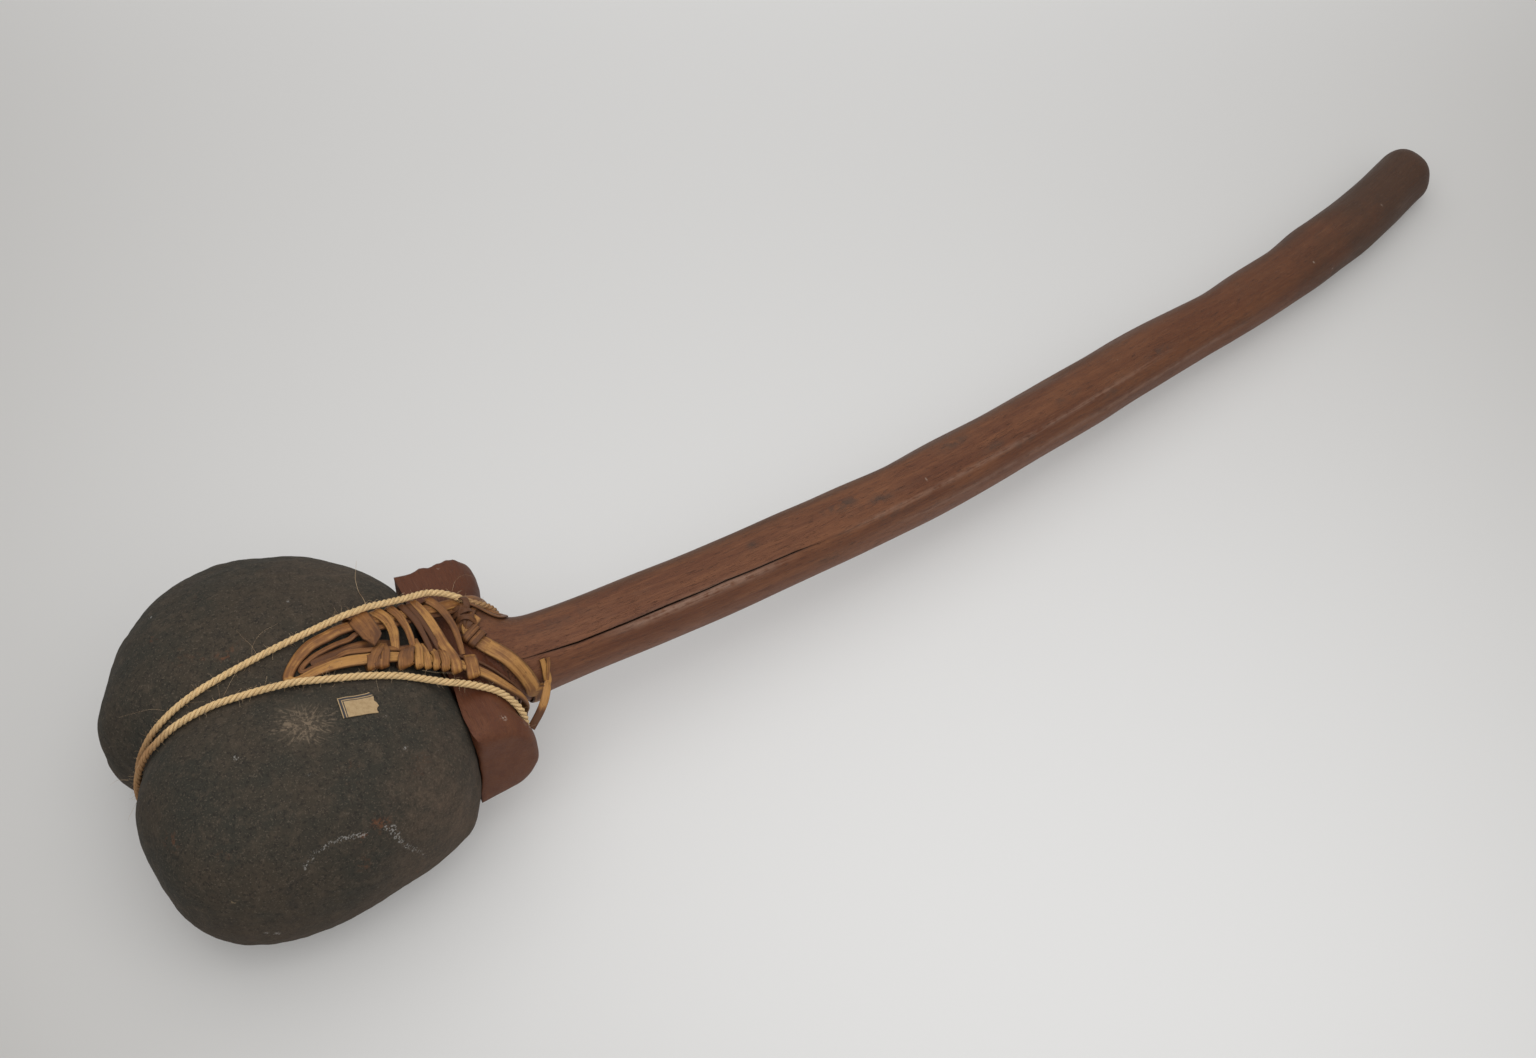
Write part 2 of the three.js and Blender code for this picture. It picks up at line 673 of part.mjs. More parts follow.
function strapLoop(haft) {
  const topLine = planLine([
    [crestY - STRAP_NEAR_SPAN, strapNeckX],
    [crestY, knotX],
    [crestY + STRAP_FAR_SPAN, strapNeckX],
  ]);
  const line = (y, z) => (z >= barMiddle ? topLine(y) : strapNeckX);
  const sheet = {
    flatten: (point) => ({ u: point.y, v: point.z, off: point.x - line(point.y, point.z) }),
    place: (u, v) => new THREE.Vector3(line(u, v), u, v),
    direction: (du, dv) => new THREE.Vector3(0, du, dv),
  };
  return tautLoop([haft], sheet, STRAP_WIDTH / 2, () => FIT_GAP + BEND_EASE + STRAP_THICKNESS / 2);
}

function makeStrap(loop) {
  const path = evenly(loop, STRAP_STEPS, true);
  return bare(sweep(path, STRIP_SIDES, stripSection(STRAP_WIDTH, STRAP_THICKNESS), true));
}

// The knot lies on the strap where it crosses the top of the neck
function makeNeckKnot(loop) {
  const station = loop[Math.round(loop.length * KNOT_PLACE)];
  const out = station.normal.clone().normalize();
  const halfHeight = (KNOT_RADIUS * TREFOIL_RISE + KNOT_STRAND) * KNOT_FLATNESS;
  const place = station.point.clone();
  place.addScaledVector(out, STRAP_THICKNESS / 2 + FIT_GAP + halfHeight);
  return bare(makeTrefoil(KNOT_RADIUS, KNOT_STRAND, KNOT_FLATNESS, place, out));
}

// The tail leaves the handle's near side, bows out of the crook and tucks behind the crossbar
function makeTail() {
  const strapEdge = strapNeckX + STRAP_WIDTH / 2 + FIT_GAP;
  const along = strapEdge + TAIL_WIDTH / 2 + TAIL_SHIFT - handleStartX;
  const rest = FIT_GAP + 2 * BEND_EASE + TAIL_THICKNESS / 2;
  const fromHandle = (angle) => new THREE.Vector3(0, -Math.sin(angle), Math.cos(angle));
  const onHandle = (angle) => {
    const point = handleCentre(along).addScaledVector(fromHandle(angle), handleRadius(along) + rest);
    return { point, normal: fromHandle(angle) };
  };
  const lines = legLines(0);
  const nearLegY = lines.near(barFaceX + BAR_NEAR_DEPTH) - CANE_WIDTH / 2;
  const endY = nearLegY - FIT_GAP - TAIL_WIDTH;
  const backX = barFaceX + barDepth(endY) + rest;
  const back = new THREE.Vector3(1, 0, 0);
  const stops = [
    onHandle(TAIL_TOP_ANGLE),
    onHandle(TAIL_MIDDLE_ANGLE),
    onHandle(TAIL_SIDE_ANGLE),
    { point: new THREE.Vector3(backX + 2 * TAIL_BOW, endY + TAIL_BOW, barMiddle - TAIL_BOW), normal: back },
    { point: new THREE.Vector3(backX + TAIL_BOW, endY, barMiddle - 1.5 * TAIL_BOW), normal: back },
    { point: new THREE.Vector3(backX, endY, barMiddle - 2 * TAIL_BOW), normal: back },
  ];
  const curve = new THREE.CatmullRomCurve3(stops.map(({ point }) => point));
  const facing = new THREE.CatmullRomCurve3(stops.map(({ normal }) => normal));
  const parts = 24;
  const path = [];
  for (let k = 0; k <= parts; k += 1) {
    path.push({ point: curve.getPoint(k / parts), normal: facing.getPoint(k / parts) });
  }
  return bare(sweep(path, STRIP_SIDES, stripSection(TAIL_WIDTH, TAIL_THICKNESS), false));
}

// Binding cord: both turns pulled tight over everything under them, tied on the outer side

function makeCord(underneath) {
  const turnPath = (topPoints, underPoints) => {
    const sheet = uprightSheet(planLine(topPoints), planLine(underPoints));
    const loop = tautLoop(underneath, sheet, CORD_RADIUS, () => FIT_GAP + BEND_EASE + CORD_RADIUS);
    return evenly(loop, CORD_STEPS, true);
  };
  const far = turnPath(CORD_FAR_TOP, CORD_FAR_UNDER);
  const near = turnPath(CORD_NEAR_TOP, CORD_NEAR_UNDER);
  const turns = [far, near].map((path) => solid(sweep(path, CORD_SIDES, roundSection(CORD_RADIUS), true)));
  const outerSide = far.filter(({ point }) => point.x < 0);
  const distance = ({ point }) => Math.abs(point.z - CORD_KNOT_HEIGHT);
  const tied = outerSide.reduce((best, next) => (distance(next) < distance(best) ? next : best));
  const nearTied = near.reduce((best, next) => {
    return next.point.distanceTo(tied.point) < best.point.distanceTo(tied.point) ? next : best;
  });
  const out = tied.normal.clone().normalize();
  const place = tied.point.clone().lerp(nearTied.point, 0.5);
  place.addScaledVector(out, CORD_KNOT_RADIUS * TREFOIL_RISE + CORD_RADIUS);
  const knot = makeTrefoil(CORD_KNOT_RADIUS, CORD_RADIUS, CORD_KNOT_FLATNESS, place, out);
  return geometryOf(turns[0].add(turns[1]).add(solid(knot)));
}

// Paper label pasted on the near lobe
function makeLabel(stone) {
  const sheet = new THREE.BoxGeometry(LABEL_LENGTH, LABEL_WIDTH, LABEL_THICKNESS, 6, 5, 1);
  sheet.rotateZ(LABEL_TURN);
  const laid = deform(sheet, (vertex) => {
    const x = LABEL_X + vertex.x;
    const y = LABEL_Y + vertex.y;
    const surface = surfaceHeight(stone, x, y, true);
    return new THREE.Vector3(x, y, surface + FIT_GAP + LABEL_THICKNESS / 2 + vertex.z);
  });
  return bare(laid);
}

// Assembly

const materials = {
  stone: new THREE.MeshStandardMaterial({ color: '#3d3a36', roughness: 0.85, metalness: 0 }),
  wood: new THREE.MeshStandardMaterial({ color: '#5d3a2b', roughness: 0.6, metalness: 0 }),
  cane: new THREE.MeshStandardMaterial({ color: '#9a6a38', roughness: 0.55, metalness: 0 }),
  cord: new THREE.MeshStandardMaterial({ color: '#c6a878', roughness: 0.9, metalness: 0 }),
  paper: new THREE.MeshStandardMaterial({ color: '#cdbd97', roughness: 0.9, metalness: 0 }),
};

const stone = makeStone();
const crossbar = bare(makeCrossbar());
const haft = makeHaft(crossbar);
const outerLines = legLines(0);
const outerFar = outerLeg(stone, crossbar, outerLines.far);
const outerNear = outerLeg(stone, crossbar, outerLines.near);
const outerCane = slingLoop(stone, outerFar, outerNear, 0, CANE_WIDTH, CANE_THICKNESS, slingTipX);
const innerFar = besideLeg(outerFar, outerLines.far, -innerInset);
const innerNear = besideLeg(outerNear, outerLines.near, innerInset);
const innerCane = slingLoop(
  stone, innerFar, innerNear, innerInset, INNER_CANE_WIDTH, INNER_CANE_THICKNESS, innerTip,
);
const legs = { far: outerFar, near: outerNear };
const band = makeBand(legs);
const frapping = makeFrapping(legs);
const neckLoop = strapLoop(haft);
const strap = makeStrap(neckLoop);
const neckKnot = makeNeckKnot(neckLoop);
const tail = makeTail();
const cord = makeCord([stone, crossbar, outerCane, innerCane, band, frapping, strap, neckKnot, tail]);
const label = makeLabel(stone);

const pieces = [
  ['stone_head', stone, materials.stone],
  ['haft', haft, materials.wood],
  ['sling_outer_cane', outerCane, materials.cane],
  ['sling_inner_cane', innerCane, materials.cane],
  ['sling_band', band, materials.cane],
  ['frapping_strip', frapping, materials.cane],
  ['neck_strap', strap, materials.cane],
  ['neck_knot', neckKnot, materials.cane],
  ['loose_tail', tail, materials.cane],
  ['binding_cord', cord, materials.cord],
  ['paper_label', label, materials.paper],
];

const assembly = new THREE.Group();
for (const [name, geometry, material] of pieces) {
  const mesh = new THREE.Mesh(geometry, material);
  mesh.name = name;
  assembly.add(mesh);
}

// The origin is the middle of the whole tool on the floor
const middle = new THREE.Box3().setFromObject(assembly).getCenter(new THREE.Vector3());
assembly.position.set(-middle.x, -middle.y, 0);

const maul = new THREE.Group();
maul.add(assembly);

export default maul;
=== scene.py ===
import math

import bmesh
import bpy
import numpy as np
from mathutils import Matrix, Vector, noise
from mathutils.bvhtree import BVHTree


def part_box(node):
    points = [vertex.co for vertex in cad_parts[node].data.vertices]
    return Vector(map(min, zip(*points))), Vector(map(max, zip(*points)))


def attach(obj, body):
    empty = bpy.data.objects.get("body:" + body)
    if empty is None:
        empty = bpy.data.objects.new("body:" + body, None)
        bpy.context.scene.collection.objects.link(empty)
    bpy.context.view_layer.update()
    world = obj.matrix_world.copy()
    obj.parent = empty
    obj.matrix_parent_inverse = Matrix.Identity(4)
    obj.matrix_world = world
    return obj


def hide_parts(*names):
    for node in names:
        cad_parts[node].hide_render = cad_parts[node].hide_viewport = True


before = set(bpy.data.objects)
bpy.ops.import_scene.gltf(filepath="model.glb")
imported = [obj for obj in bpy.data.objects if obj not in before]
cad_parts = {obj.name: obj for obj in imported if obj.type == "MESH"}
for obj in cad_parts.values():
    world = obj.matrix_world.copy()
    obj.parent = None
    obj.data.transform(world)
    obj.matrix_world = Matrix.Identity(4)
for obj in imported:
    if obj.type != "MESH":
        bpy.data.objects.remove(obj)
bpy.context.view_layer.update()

# ---------------------------------------------------------------------------------------------
# Viewpoint: the maul lies on the floor and is seen from above its near side, head to the left.
# The maker's origin, "foot", is the floor under the middle of the stone's groove. All sizes below
# are millimetres from there, and in_row() turns them into metres in the row frame.
SEAT_X, NEAR_LENGTH = 87, 114.5
CAMERA_PLACE, CAMERA_WAY = (-208.8, -975.2, 1383.8), (0.2957, 0.5708, -0.7660)
CAMERA_LENS, CAMERA_SENSOR = 70, 36
stone_low, stone_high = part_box("stone_head")
foot = np.array((stone_high.x - SEAT_X / 1000, stone_low.y + NEAR_LENGTH / 1000, 0.0))


def in_row(points):
    return foot + np.asarray(points, float) * 0.001


def linked(name, data):
    """A new object in the scene."""
    made = bpy.data.objects.new(name, data)
    bpy.context.scene.collection.objects.link(made)
    return made


camera = linked("camera", bpy.data.cameras.new("camera"))
camera.data.lens, camera.data.sensor_width = CAMERA_LENS, CAMERA_SENSOR
camera.data.sensor_fit = "HORIZONTAL"
camera.location = in_row(CAMERA_PLACE)
camera.rotation_euler = Vector(CAMERA_WAY).to_track_quat("-Z", "Y").to_euler()
bpy.context.scene.camera = camera
bpy.context.scene.view_settings.view_transform = "Standard"

# ---------------------------------------------------------------------------------------------
# Stone head: one hard, dark, fine-grained cobble, pecked round its waist into a groove that
# parts two lobes. It is ground flat where the haft sits, and rests on the floor on both lobes.
STONE_HALF_WIDTH, STONE_MIDDLE, STONE_RISE = 98, 66, 66
FAR_LENGTH = 113.5
NEAR_SQUARE, FAR_SQUARE, UNDER_SQUARE, SECTION_SQUARE = 4.55, 1.7, 3.5, 2.4
GROOVE_SPREAD, OUTER_SPREAD, OUTER_SHIFT = 25, 20, 3
TOP_GROOVE, UNDER_GROOVE, OUTER_GROOVE, HAFT_GROOVE = 8.5, 10.5, 17.2, 10
LOBE_EASE, FAR_SWELL, NEAR_SWAY, SOLE_SUNK = 40, 0.03, 6.2, 1.2
STONE_ROWS, STONE_COLUMNS, TRIALS = 262, 316, 4001
SEAT_SOFT, SOLE_SOFT, RELIEF_SUNK = 4, 1.2, 0.4
CRISP_ANGLE = math.radians(48)


def ease(value, start, end):
    share = np.clip((np.asarray(value, float) - start) / (end - start), 0, 1)
    return share * share * (3 - 2 * share)


def blend(start, end, share):
    return start + (end - start) * share


def bell(value, spread):
    return np.exp(-((value / spread) ** 2))


def signed_power(value, exponent):
    return np.sign(value) * np.abs(value) ** exponent


def lobe_profile(share, y, square, depth, spread, shift):
    round_end = np.sqrt(np.clip(1 - np.abs(share) ** square, 0, None))
    return round_end * (1 - depth * bell(y - shift, spread))


def stone_points(share, turn):
    across, up = np.cos(turn), np.sin(turn)
    near = share < 0
    y = share * np.where(near, NEAR_LENGTH, FAR_LENGTH)
    lobe = np.tanh(y / LOBE_EASE)
    swell = 1 + FAR_SWELL * lobe
    side = np.where(across < 0, OUTER_GROOVE, HAFT_GROOVE) / STONE_HALF_WIDTH
    flat = np.where(up > 0, TOP_GROOVE, UNDER_GROOVE) / STONE_MIDDLE
    depth = blend(flat, side, across ** 2)
    spread = blend(GROOVE_SPREAD, np.where(across < 0, OUTER_SPREAD, GROOVE_SPREAD), across ** 2)
    shift = np.where(across < 0, OUTER_SHIFT * across ** 2, 0)
    top = lobe_profile(share, y, np.where(near, NEAR_SQUARE, FAR_SQUARE), depth, spread, shift)
    under = lobe_profile(share, y, np.where(near, NEAR_SQUARE, UNDER_SQUARE), depth, spread, shift)
    tries = np.linspace(0, 1, 200)
    peaks = [
        lobe_profile(tries, tries * length, square, UNDER_GROOVE / STONE_MIDDLE, GROOVE_SPREAD, 0).max()
        for length, square in ((NEAR_LENGTH, NEAR_SQUARE), (FAR_LENGTH, UNDER_SQUARE))
    ]
    drop = (STONE_MIDDLE + SOLE_SUNK) / blend(peaks[0], peaks[1], (1 + lobe) / 2)
    sway = np.where(near, NEAR_SWAY * share, 0)
    x = STONE_HALF_WIDTH * swell * top * signed_power(across, 2 / SECTION_SQUARE) + sway
    lift = np.where(up > 0, STONE_RISE * swell * top, drop * under)
    z = STONE_MIDDLE + lift * signed_power(up, 2 / SECTION_SQUARE)
    return np.stack((x, y + 0 * x, z), axis=-1)


def run_along(points):
    """How far along a chain of points each of them lies."""
    return np.concatenate(((0,), np.cumsum(np.linalg.norm(np.diff(points, axis=0), axis=1))))


def evenly(points, count, closed=False):
    """A path's places, with all that rides on them, at even stations."""
    chain = np.vstack((points, points[:1])) if closed else np.asarray(points)
    gone = run_along(chain[:, :3])
    places = np.linspace(0, gone[-1], count + 1)[:-1] if closed else np.linspace(0, gone[-1], count)
    return np.stack([np.interp(places, gone, chain[:, k]) for k in range(chain.shape[1])], axis=1)


def grain_of(points, size, seed):
    """Lumps of about one size, as a number for each point."""
    shifted = np.asarray(points) / size + seed * 17.3
    return np.array([noise.noise(Vector(p)) for p in shifted])


def waver(places, row, layer=0):
    """A smooth, uneven line, as a number for each place along it."""
    return np.array([noise.noise(Vector((place, row, layer))) for place in places])


def soft_limit(value, limit, softness):
    """The lesser of both, with the corner between them rounded."""
    gap = np.clip((softness - np.abs(value - limit)) / softness, 0, None)
    return np.minimum(value, limit) - gap * gap * softness / 4


def closed_grid(rows, columns):
    """Faces of a tube of rings whose first and last rings are single points."""
    faces = []
    at = lambda r, c: 1 + (r - 1) * columns + c % columns
    last = 1 + (rows - 2) * columns
    for c in range(columns):
        faces.append((0, at(1, c + 1), at(1, c)))
        faces.append((last, at(rows - 2, c), at(rows - 2, c + 1)))
    for r in range(1, rows - 2):
        faces.extend((at(r, c), at(r, c + 1), at(r + 1, c + 1), at(r + 1, c)) for c in range(columns))
    return faces


def outward(mesh):
    """Turns all faces outwards and smooths the shading, with crisp arrises kept."""
    shell = bmesh.new()
    shell.from_mesh(mesh)
    bmesh.ops.recalc_face_normals(shell, faces=shell.faces)
    shell.to_mesh(mesh)
    shell.free()
    mesh.shade_smooth()
    mesh.set_sharp_from_angle(angle=CRISP_ANGLE)


def skinned(name, points, faces):
    mesh = bpy.data.meshes.new(name)
    mesh.from_pydata(points.tolist(), [], faces)
    outward(mesh)
    return mesh


def vectors_of(items, field="co"):
    values = np.zeros(len(items) * 3)
    items.foreach_get(field, values)
    return values.reshape(-1, 3)


def mark(mesh, name, values):
    """Keeps one number, or one vector, for each point of a mesh, for its finish to read."""
    values = np.asarray(values, np.float32)
    kind = "FLOAT" if values.ndim == 1 else "FLOAT_VECTOR"
    layer = mesh.attributes.new(name, kind, "POINT")
    layer.data.foreach_set("value" if values.ndim == 1 else "vector", values.ravel())


def settled(piece, slot, *nodes):
    """Puts a finished piece on the tool's one body, in the place of its CAD nodes."""
    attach(piece, "root")
    if nodes:
        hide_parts(*nodes)
    return piece


def spots(points, marks):
    """How strongly each point is touched by round marks, given as x, y, z, radius and strength."""
    total = np.zeros(len(points))
    for x, y, z, radius, strength in marks:
        away = np.linalg.norm(points - np.array((x, y, z)), axis=1)
        total = np.maximum(total, strength * bell(away, radius))
    return total


trial = signed_power(np.linspace(-1, 1, TRIALS), 0.5)
side_view = stone_points(trial, np.full_like(trial, math.pi / 2 + 0.3))
side_run = run_along(side_view[:, 1:])
lengthwise = np.interp(np.linspace(0, side_run[-1], STONE_ROWS), side_run, trial)
turns = np.linspace(0, 2 * math.pi, STONE_COLUMNS, endpoint=False)
ring_share, ring_turn = np.meshgrid(lengthwise[1:-1], turns, indexing="ij")
stone_skin = np.vstack((
    stone_points(np.array((-1.0,)), np.array((0.0,))),
    stone_points(ring_share.ravel(), ring_turn.ravel()),
    stone_points(np.array((1.0,)), np.array((0.0,))),
))
stone_faces = closed_grid(STONE_ROWS, STONE_COLUMNS)
stone_mesh = skinned("stone_head_skin", stone_skin, stone_faces)
stone_normals = vectors_of(stone_mesh.vertex_normals, "vector")
relief = 1.5 * grain_of(stone_skin, 62, 1) + 0.7 * grain_of(stone_skin, 24, 2)
relief += 0.35 * grain_of(stone_skin, 9, 3) + 0.22 * grain_of(stone_skin, 4.2, 4)
relief += spots(stone_skin, [
    (-88, 46, 48, 20, 1.8), (-15, 92, 92, 42, 2.0), (-89, 40, 73, 15, 2.6), (2, 102, 95, 22, 3.1),
    (44, 88, 95, 18, 1.3), (70, -87, 40, 15, 2.4)])
relief -= spots(stone_skin, [
    (84, -46, 100, 17, 1.6), (82, -82, 70, 16, 1.2), (-94, -44, 56, 34, 2.4), (26, -99, 25, 36, 3.8),
    (-86, 68, 76, 26, 1.3), (-50, 87, 94, 17, 1.2)])
stone_skin = stone_skin + stone_normals * (relief - RELIEF_SUNK)[:, None]
stone_skin[:, 0] = soft_limit(stone_skin[:, 0], SEAT_X, SEAT_SOFT)
stone_skin[:, 2] = -soft_limit(-stone_skin[:, 2], 0, SOLE_SOFT)
stone_skin[:, 2] -= stone_skin[:, 2].min()
stone_mesh.vertices.foreach_set("co", in_row(stone_skin).ravel())
stone_mesh.update()
stone_tree = BVHTree.FromPolygons(stone_skin.tolist(), stone_faces)

# Chalky bruises: short dotted arcs on its nose, and a few single ones
CHALK_STEP, CHALK_JOLT = 1.4, 1.6
chalk_dots = [
    (-38.4, -49.7, 126.4, 1.9, 1.5), (-49, -107.4, 48.7, 2.2, 1.4), (-54, -106.5, 52, 1.9, 1.3),
    (-8.5, -76, 124.7, 2.4, 0.7), (44, -77, 118, 2.6, 0.75), (41, -57.6, 124, 2.2, 0.7),
    (-43.6, 72.8, 108.7, 1.7, 1.1), (-8, 77.8, 112.4, 1.8, 0.95), (24, 36, 126, 2.0, 0.8),
    (-35, -52, 126.4, 1.6, 0.9), (-60, 20, 119, 1.4, 0.8), (60, -80, 108, 1.8, 0.7), (-75, -40, 110, 1.6, 0.7),
]
for arc in (
    [(-28, -108, 94), (-22, -106, 100), (-11, -105, 102.5), (0, -105, 102), (8, -106, 99.6)],
    [(17.5, -106, 98.5), (21, -106, 97.6), (25, -110, 84), (31, -109.6, 75), (36, -109, 66), (37, -108.7, 59)],
    [(19, -105.5, 98.4), (22, -106, 96.5)],
    [(9.8, -113.7, 63), (6, -113.5, 55.5)],
):
    for (x0, y0, z0), (x1, y1, z1) in zip(arc, arc[1:]):
        steps = max(3, int(math.dist((x0, y0, z0), (x1, y1, z1)) / CHALK_STEP))
        for step in range(steps):
            share = step / steps
            jolt = [noise.noise(Vector((x0 * 3.1 + step * 1.7, y0, z0 + k * 9))) for k in range(3)]
            chalk_dots.append((
                blend(x0, x1, share) + CHALK_JOLT * jolt[0], blend(y0, y1, share),
                blend(z0, z1, share) + CHALK_JOLT * jolt[1], 1.7 + 0.6 * jolt[2], 1.1 + 0.9 * jolt[2]))
mark(stone_mesh, "chalk", spots(stone_skin, chalk_dots))
mark(stone_mesh, "rust", spots(stone_skin, [
    (16.5, -104, 102, 6, 1.1), (5, -107, 99, 5, 0.8), (2.3, -112, 84, 5, 0.7), (30, -109, 49, 7, 0.55),
    (-20.6, 17, 125.3, 5, 1.0), (-14, 20, 126, 4, 0.7), (-7, 22.8, 126.7, 3.4, 0.6), (-48, 52, 116, 4, 0.7),
    (-83, -65, 101, 8, 0.55), (12, -82, 122, 9, 0.45), (-43, 30, 123, 10, 0.4), (-63, -89, 105, 9, 0.4),
    (-32, 24, 124, 6, 0.5), (46, -85, 112, 12, 0.45), (-18, 67, 117, 8, 0.35), (60, -60, 112, 10, 0.35),
]))
# Painted warm light: broad, paler and warmer patches on the haft side of the near lobe, and one on the far lobe
mark(stone_mesh, "painted_warm_light", spots(stone_skin, [
    (62, -98, 68, 30, 1.0), (50, -99, 90, 26, 1.0), (42, -108, 56, 26, 0.8), (66, -82, 98, 22, 0.5),
    (56, 52, 112, 30, 0.5),
]))
mark(stone_mesh, "scratch", spots(stone_skin, [
    (-66.5, -101.5, 82, 2.2, 1.0), (-64, -100.5, 83, 2.0, 1.1), (-20, -98, 108, 2, 0.5),
    (-70, -70, 106, 3, 0.5), (55, 20, 118, 3, 0.4), (-50, -30, 124, 4, 0.45),
]))


class Wash:
    """One value on its way through a finish or a shape: operators add Math nodes to its tree."""

    def __init__(self, tree, socket=None):
        self.tree, self.socket = tree, socket

    def node(self, kind, settings=None, inputs=None, output=0):
        made = self.tree.nodes.new(kind)
        for name, value in (settings or {}).items():
            setattr(made, name, value)
        for name, value in (inputs or {}).items():
            if isinstance(value, Wash):
                self.tree.links.new(value.socket, made.inputs[name])
            else:
                made.inputs[name].default_value = value
        return Wash(self.tree, made.outputs[output])

    def other(self, name):
        return Wash(self.tree, self.socket.node.outputs[name])

    def math(self, operation, *terms):
        return self.node("ShaderNodeMath", {"operation": operation}, dict(enumerate(terms)))

    def into(self, socket):
        self.tree.links.new(self.socket, socket)


# Each operator that is used, and its reflected form, so that 1 - mask works too
for sign, operation in (
    ("add", "ADD"), ("sub", "SUBTRACT"), ("mul", "MULTIPLY"), ("truediv", "DIVIDE"), ("pow", "POWER"),
):
    plain = lambda self, other, operation=operation: self.math(operation, self, other)
    reflected = lambda self, other, operation=operation: self.math(operation, other, self)
    setattr(Wash, f"__{sign}__", plain)
    setattr(Wash, f"__r{sign}__", reflected)


def new_finish(name):
    """A blank finish: its material, a pen to write its nodes with, and its shader's sockets."""
    material = bpy.data.materials.new(name)
    material.use_nodes = True
    return material, Wash(material.node_tree), material.node_tree.nodes["Principled BSDF"].inputs


def finished(sockets, colour, roughness, gloss=None):
    colour.into(sockets["Base Color"])
    roughness.into(sockets["Roughness"])
    if gloss is not None:
        sockets["Specular IOR Level"].default_value = gloss


def place_of(pen):
    return pen.node("ShaderNodeTexCoord", {}, {}, "Object")


def part_of(vector, axis):
    return vector.node("ShaderNodeSeparateXYZ", {}, {0: vector}, axis)


def vector_of(pen, *parts):
    return pen.node("ShaderNodeCombineXYZ", {}, dict(enumerate(parts)))


def rise_between(value, low, high):
    """Nothing at low, one at high, eased between them; low may be the greater."""
    sockets = {"Value": value, "From Min": low, "From Max": high}
    return value.node("ShaderNodeMapRange", {"interpolation_type": "SMOOTHSTEP"}, sockets)


def tinted(under, over, share):
    full = lambda colour: colour if isinstance(colour, Wash) else (*colour, 1)
    return share.node("ShaderNodeMix", {"data_type": "RGBA"}, {0: share, 6: full(under), 7: full(over)}, 2)


def layered(colour, *layers):
    """Lays named tints over a colour one after the other, each with the share it takes."""
    for name, tint, share in layers:
        colour = tinted(colour, tint, share)
        colour.socket.node.label = name
    return colour


def stretched(vector, scale, shift=(0, 0, 0)):
    return vector.node("ShaderNodeMapping", {}, {"Vector": vector, "Location": shift, "Scale": scale})


def cloud(vector, scale, detail=2.0, roughness=0.5):
    sockets = {"Vector": vector, "Scale": scale, "Detail": detail, "Roughness": roughness}
    return vector.node("ShaderNodeTexNoise", {}, sockets)


def kept_mark(pen, name, output=2):
    return pen.node("ShaderNodeAttribute", {"attribute_name": name}, {}, output)


def embossed(height, strength, distance, sockets):
    bump = height.node("ShaderNodeBump", {}, {"Height": height, "Strength": strength, "Distance": distance})
    bump.into(sockets["Normal"])


stone_finish, pen, sockets = new_finish("pecked dark stone")
place = place_of(pen)
broad, patchy, mottle = cloud(place, 15, 3, 0.55), cloud(place, 44, 4, 0.6), cloud(place, 150, 5, 0.7)
peck, grit = cloud(place, 420, 3, 0.65), cloud(place, 820, 3, 0.75)
# The painted warm light patches, broken up by the stone's mottle and grit
painted_warm_light = kept_mark(pen, "painted_warm_light") * rise_between(mottle * 0.4 + grit * 0.6, 0.3, 0.68)
rust = kept_mark(pen, "rust") * rise_between(cloud(place, 260, 4, 0.7), 0.43, 0.66)
chalk = kept_mark(pen, "chalk") * rise_between(cloud(place, 780, 2, 0.7), 0.45, 0.6)
scratch = rise_between(kept_mark(pen, "scratch"), 0.3, 0.9) * rise_between(grit, 0.46, 0.6)
# A star of light strokes, bruised into the top of the near lobe by blows that crossed one another
STAR_STROKES, STAR_LENGTH, STAR_BREADTH = 8, 0.0225, 0.0095
star_heart = in_row((-0.5, -46.5, 129))
star_x, star_y = (part_of(place, axis) - float(star_heart[axis]) for axis in (0, 1))
strokes = 0.0 * star_x
for stroke in range(STAR_STROKES):
    bearing = math.pi * (stroke + 0.35 * math.sin(stroke * 2.7)) / STAR_STROKES
    ahead = star_x * math.cos(bearing) + star_y * math.sin(bearing)
    aside = star_y * math.cos(bearing) - star_x * math.sin(bearing)
    lane = vector_of(pen, ahead * 80, aside * 760, stroke * 3.7)
    lines = rise_between(cloud(lane, 1.0, 1, 0.5), 0.55, 0.66)
    reach = STAR_LENGTH * (1.08 - 0.4 * math.sin(bearing + 0.48) ** 2)
    hold = rise_between(ahead * ahead / reach ** 2 + aside * aside / STAR_BREADTH ** 2, 1.0, 0.1)
    strokes = pen.math("MAXIMUM", strokes, lines * hold)
bruise = rise_between((star_x * star_x + star_y * star_y) ** 0.5 + (patchy - 0.5) * 0.02, 0.022, 0.0)
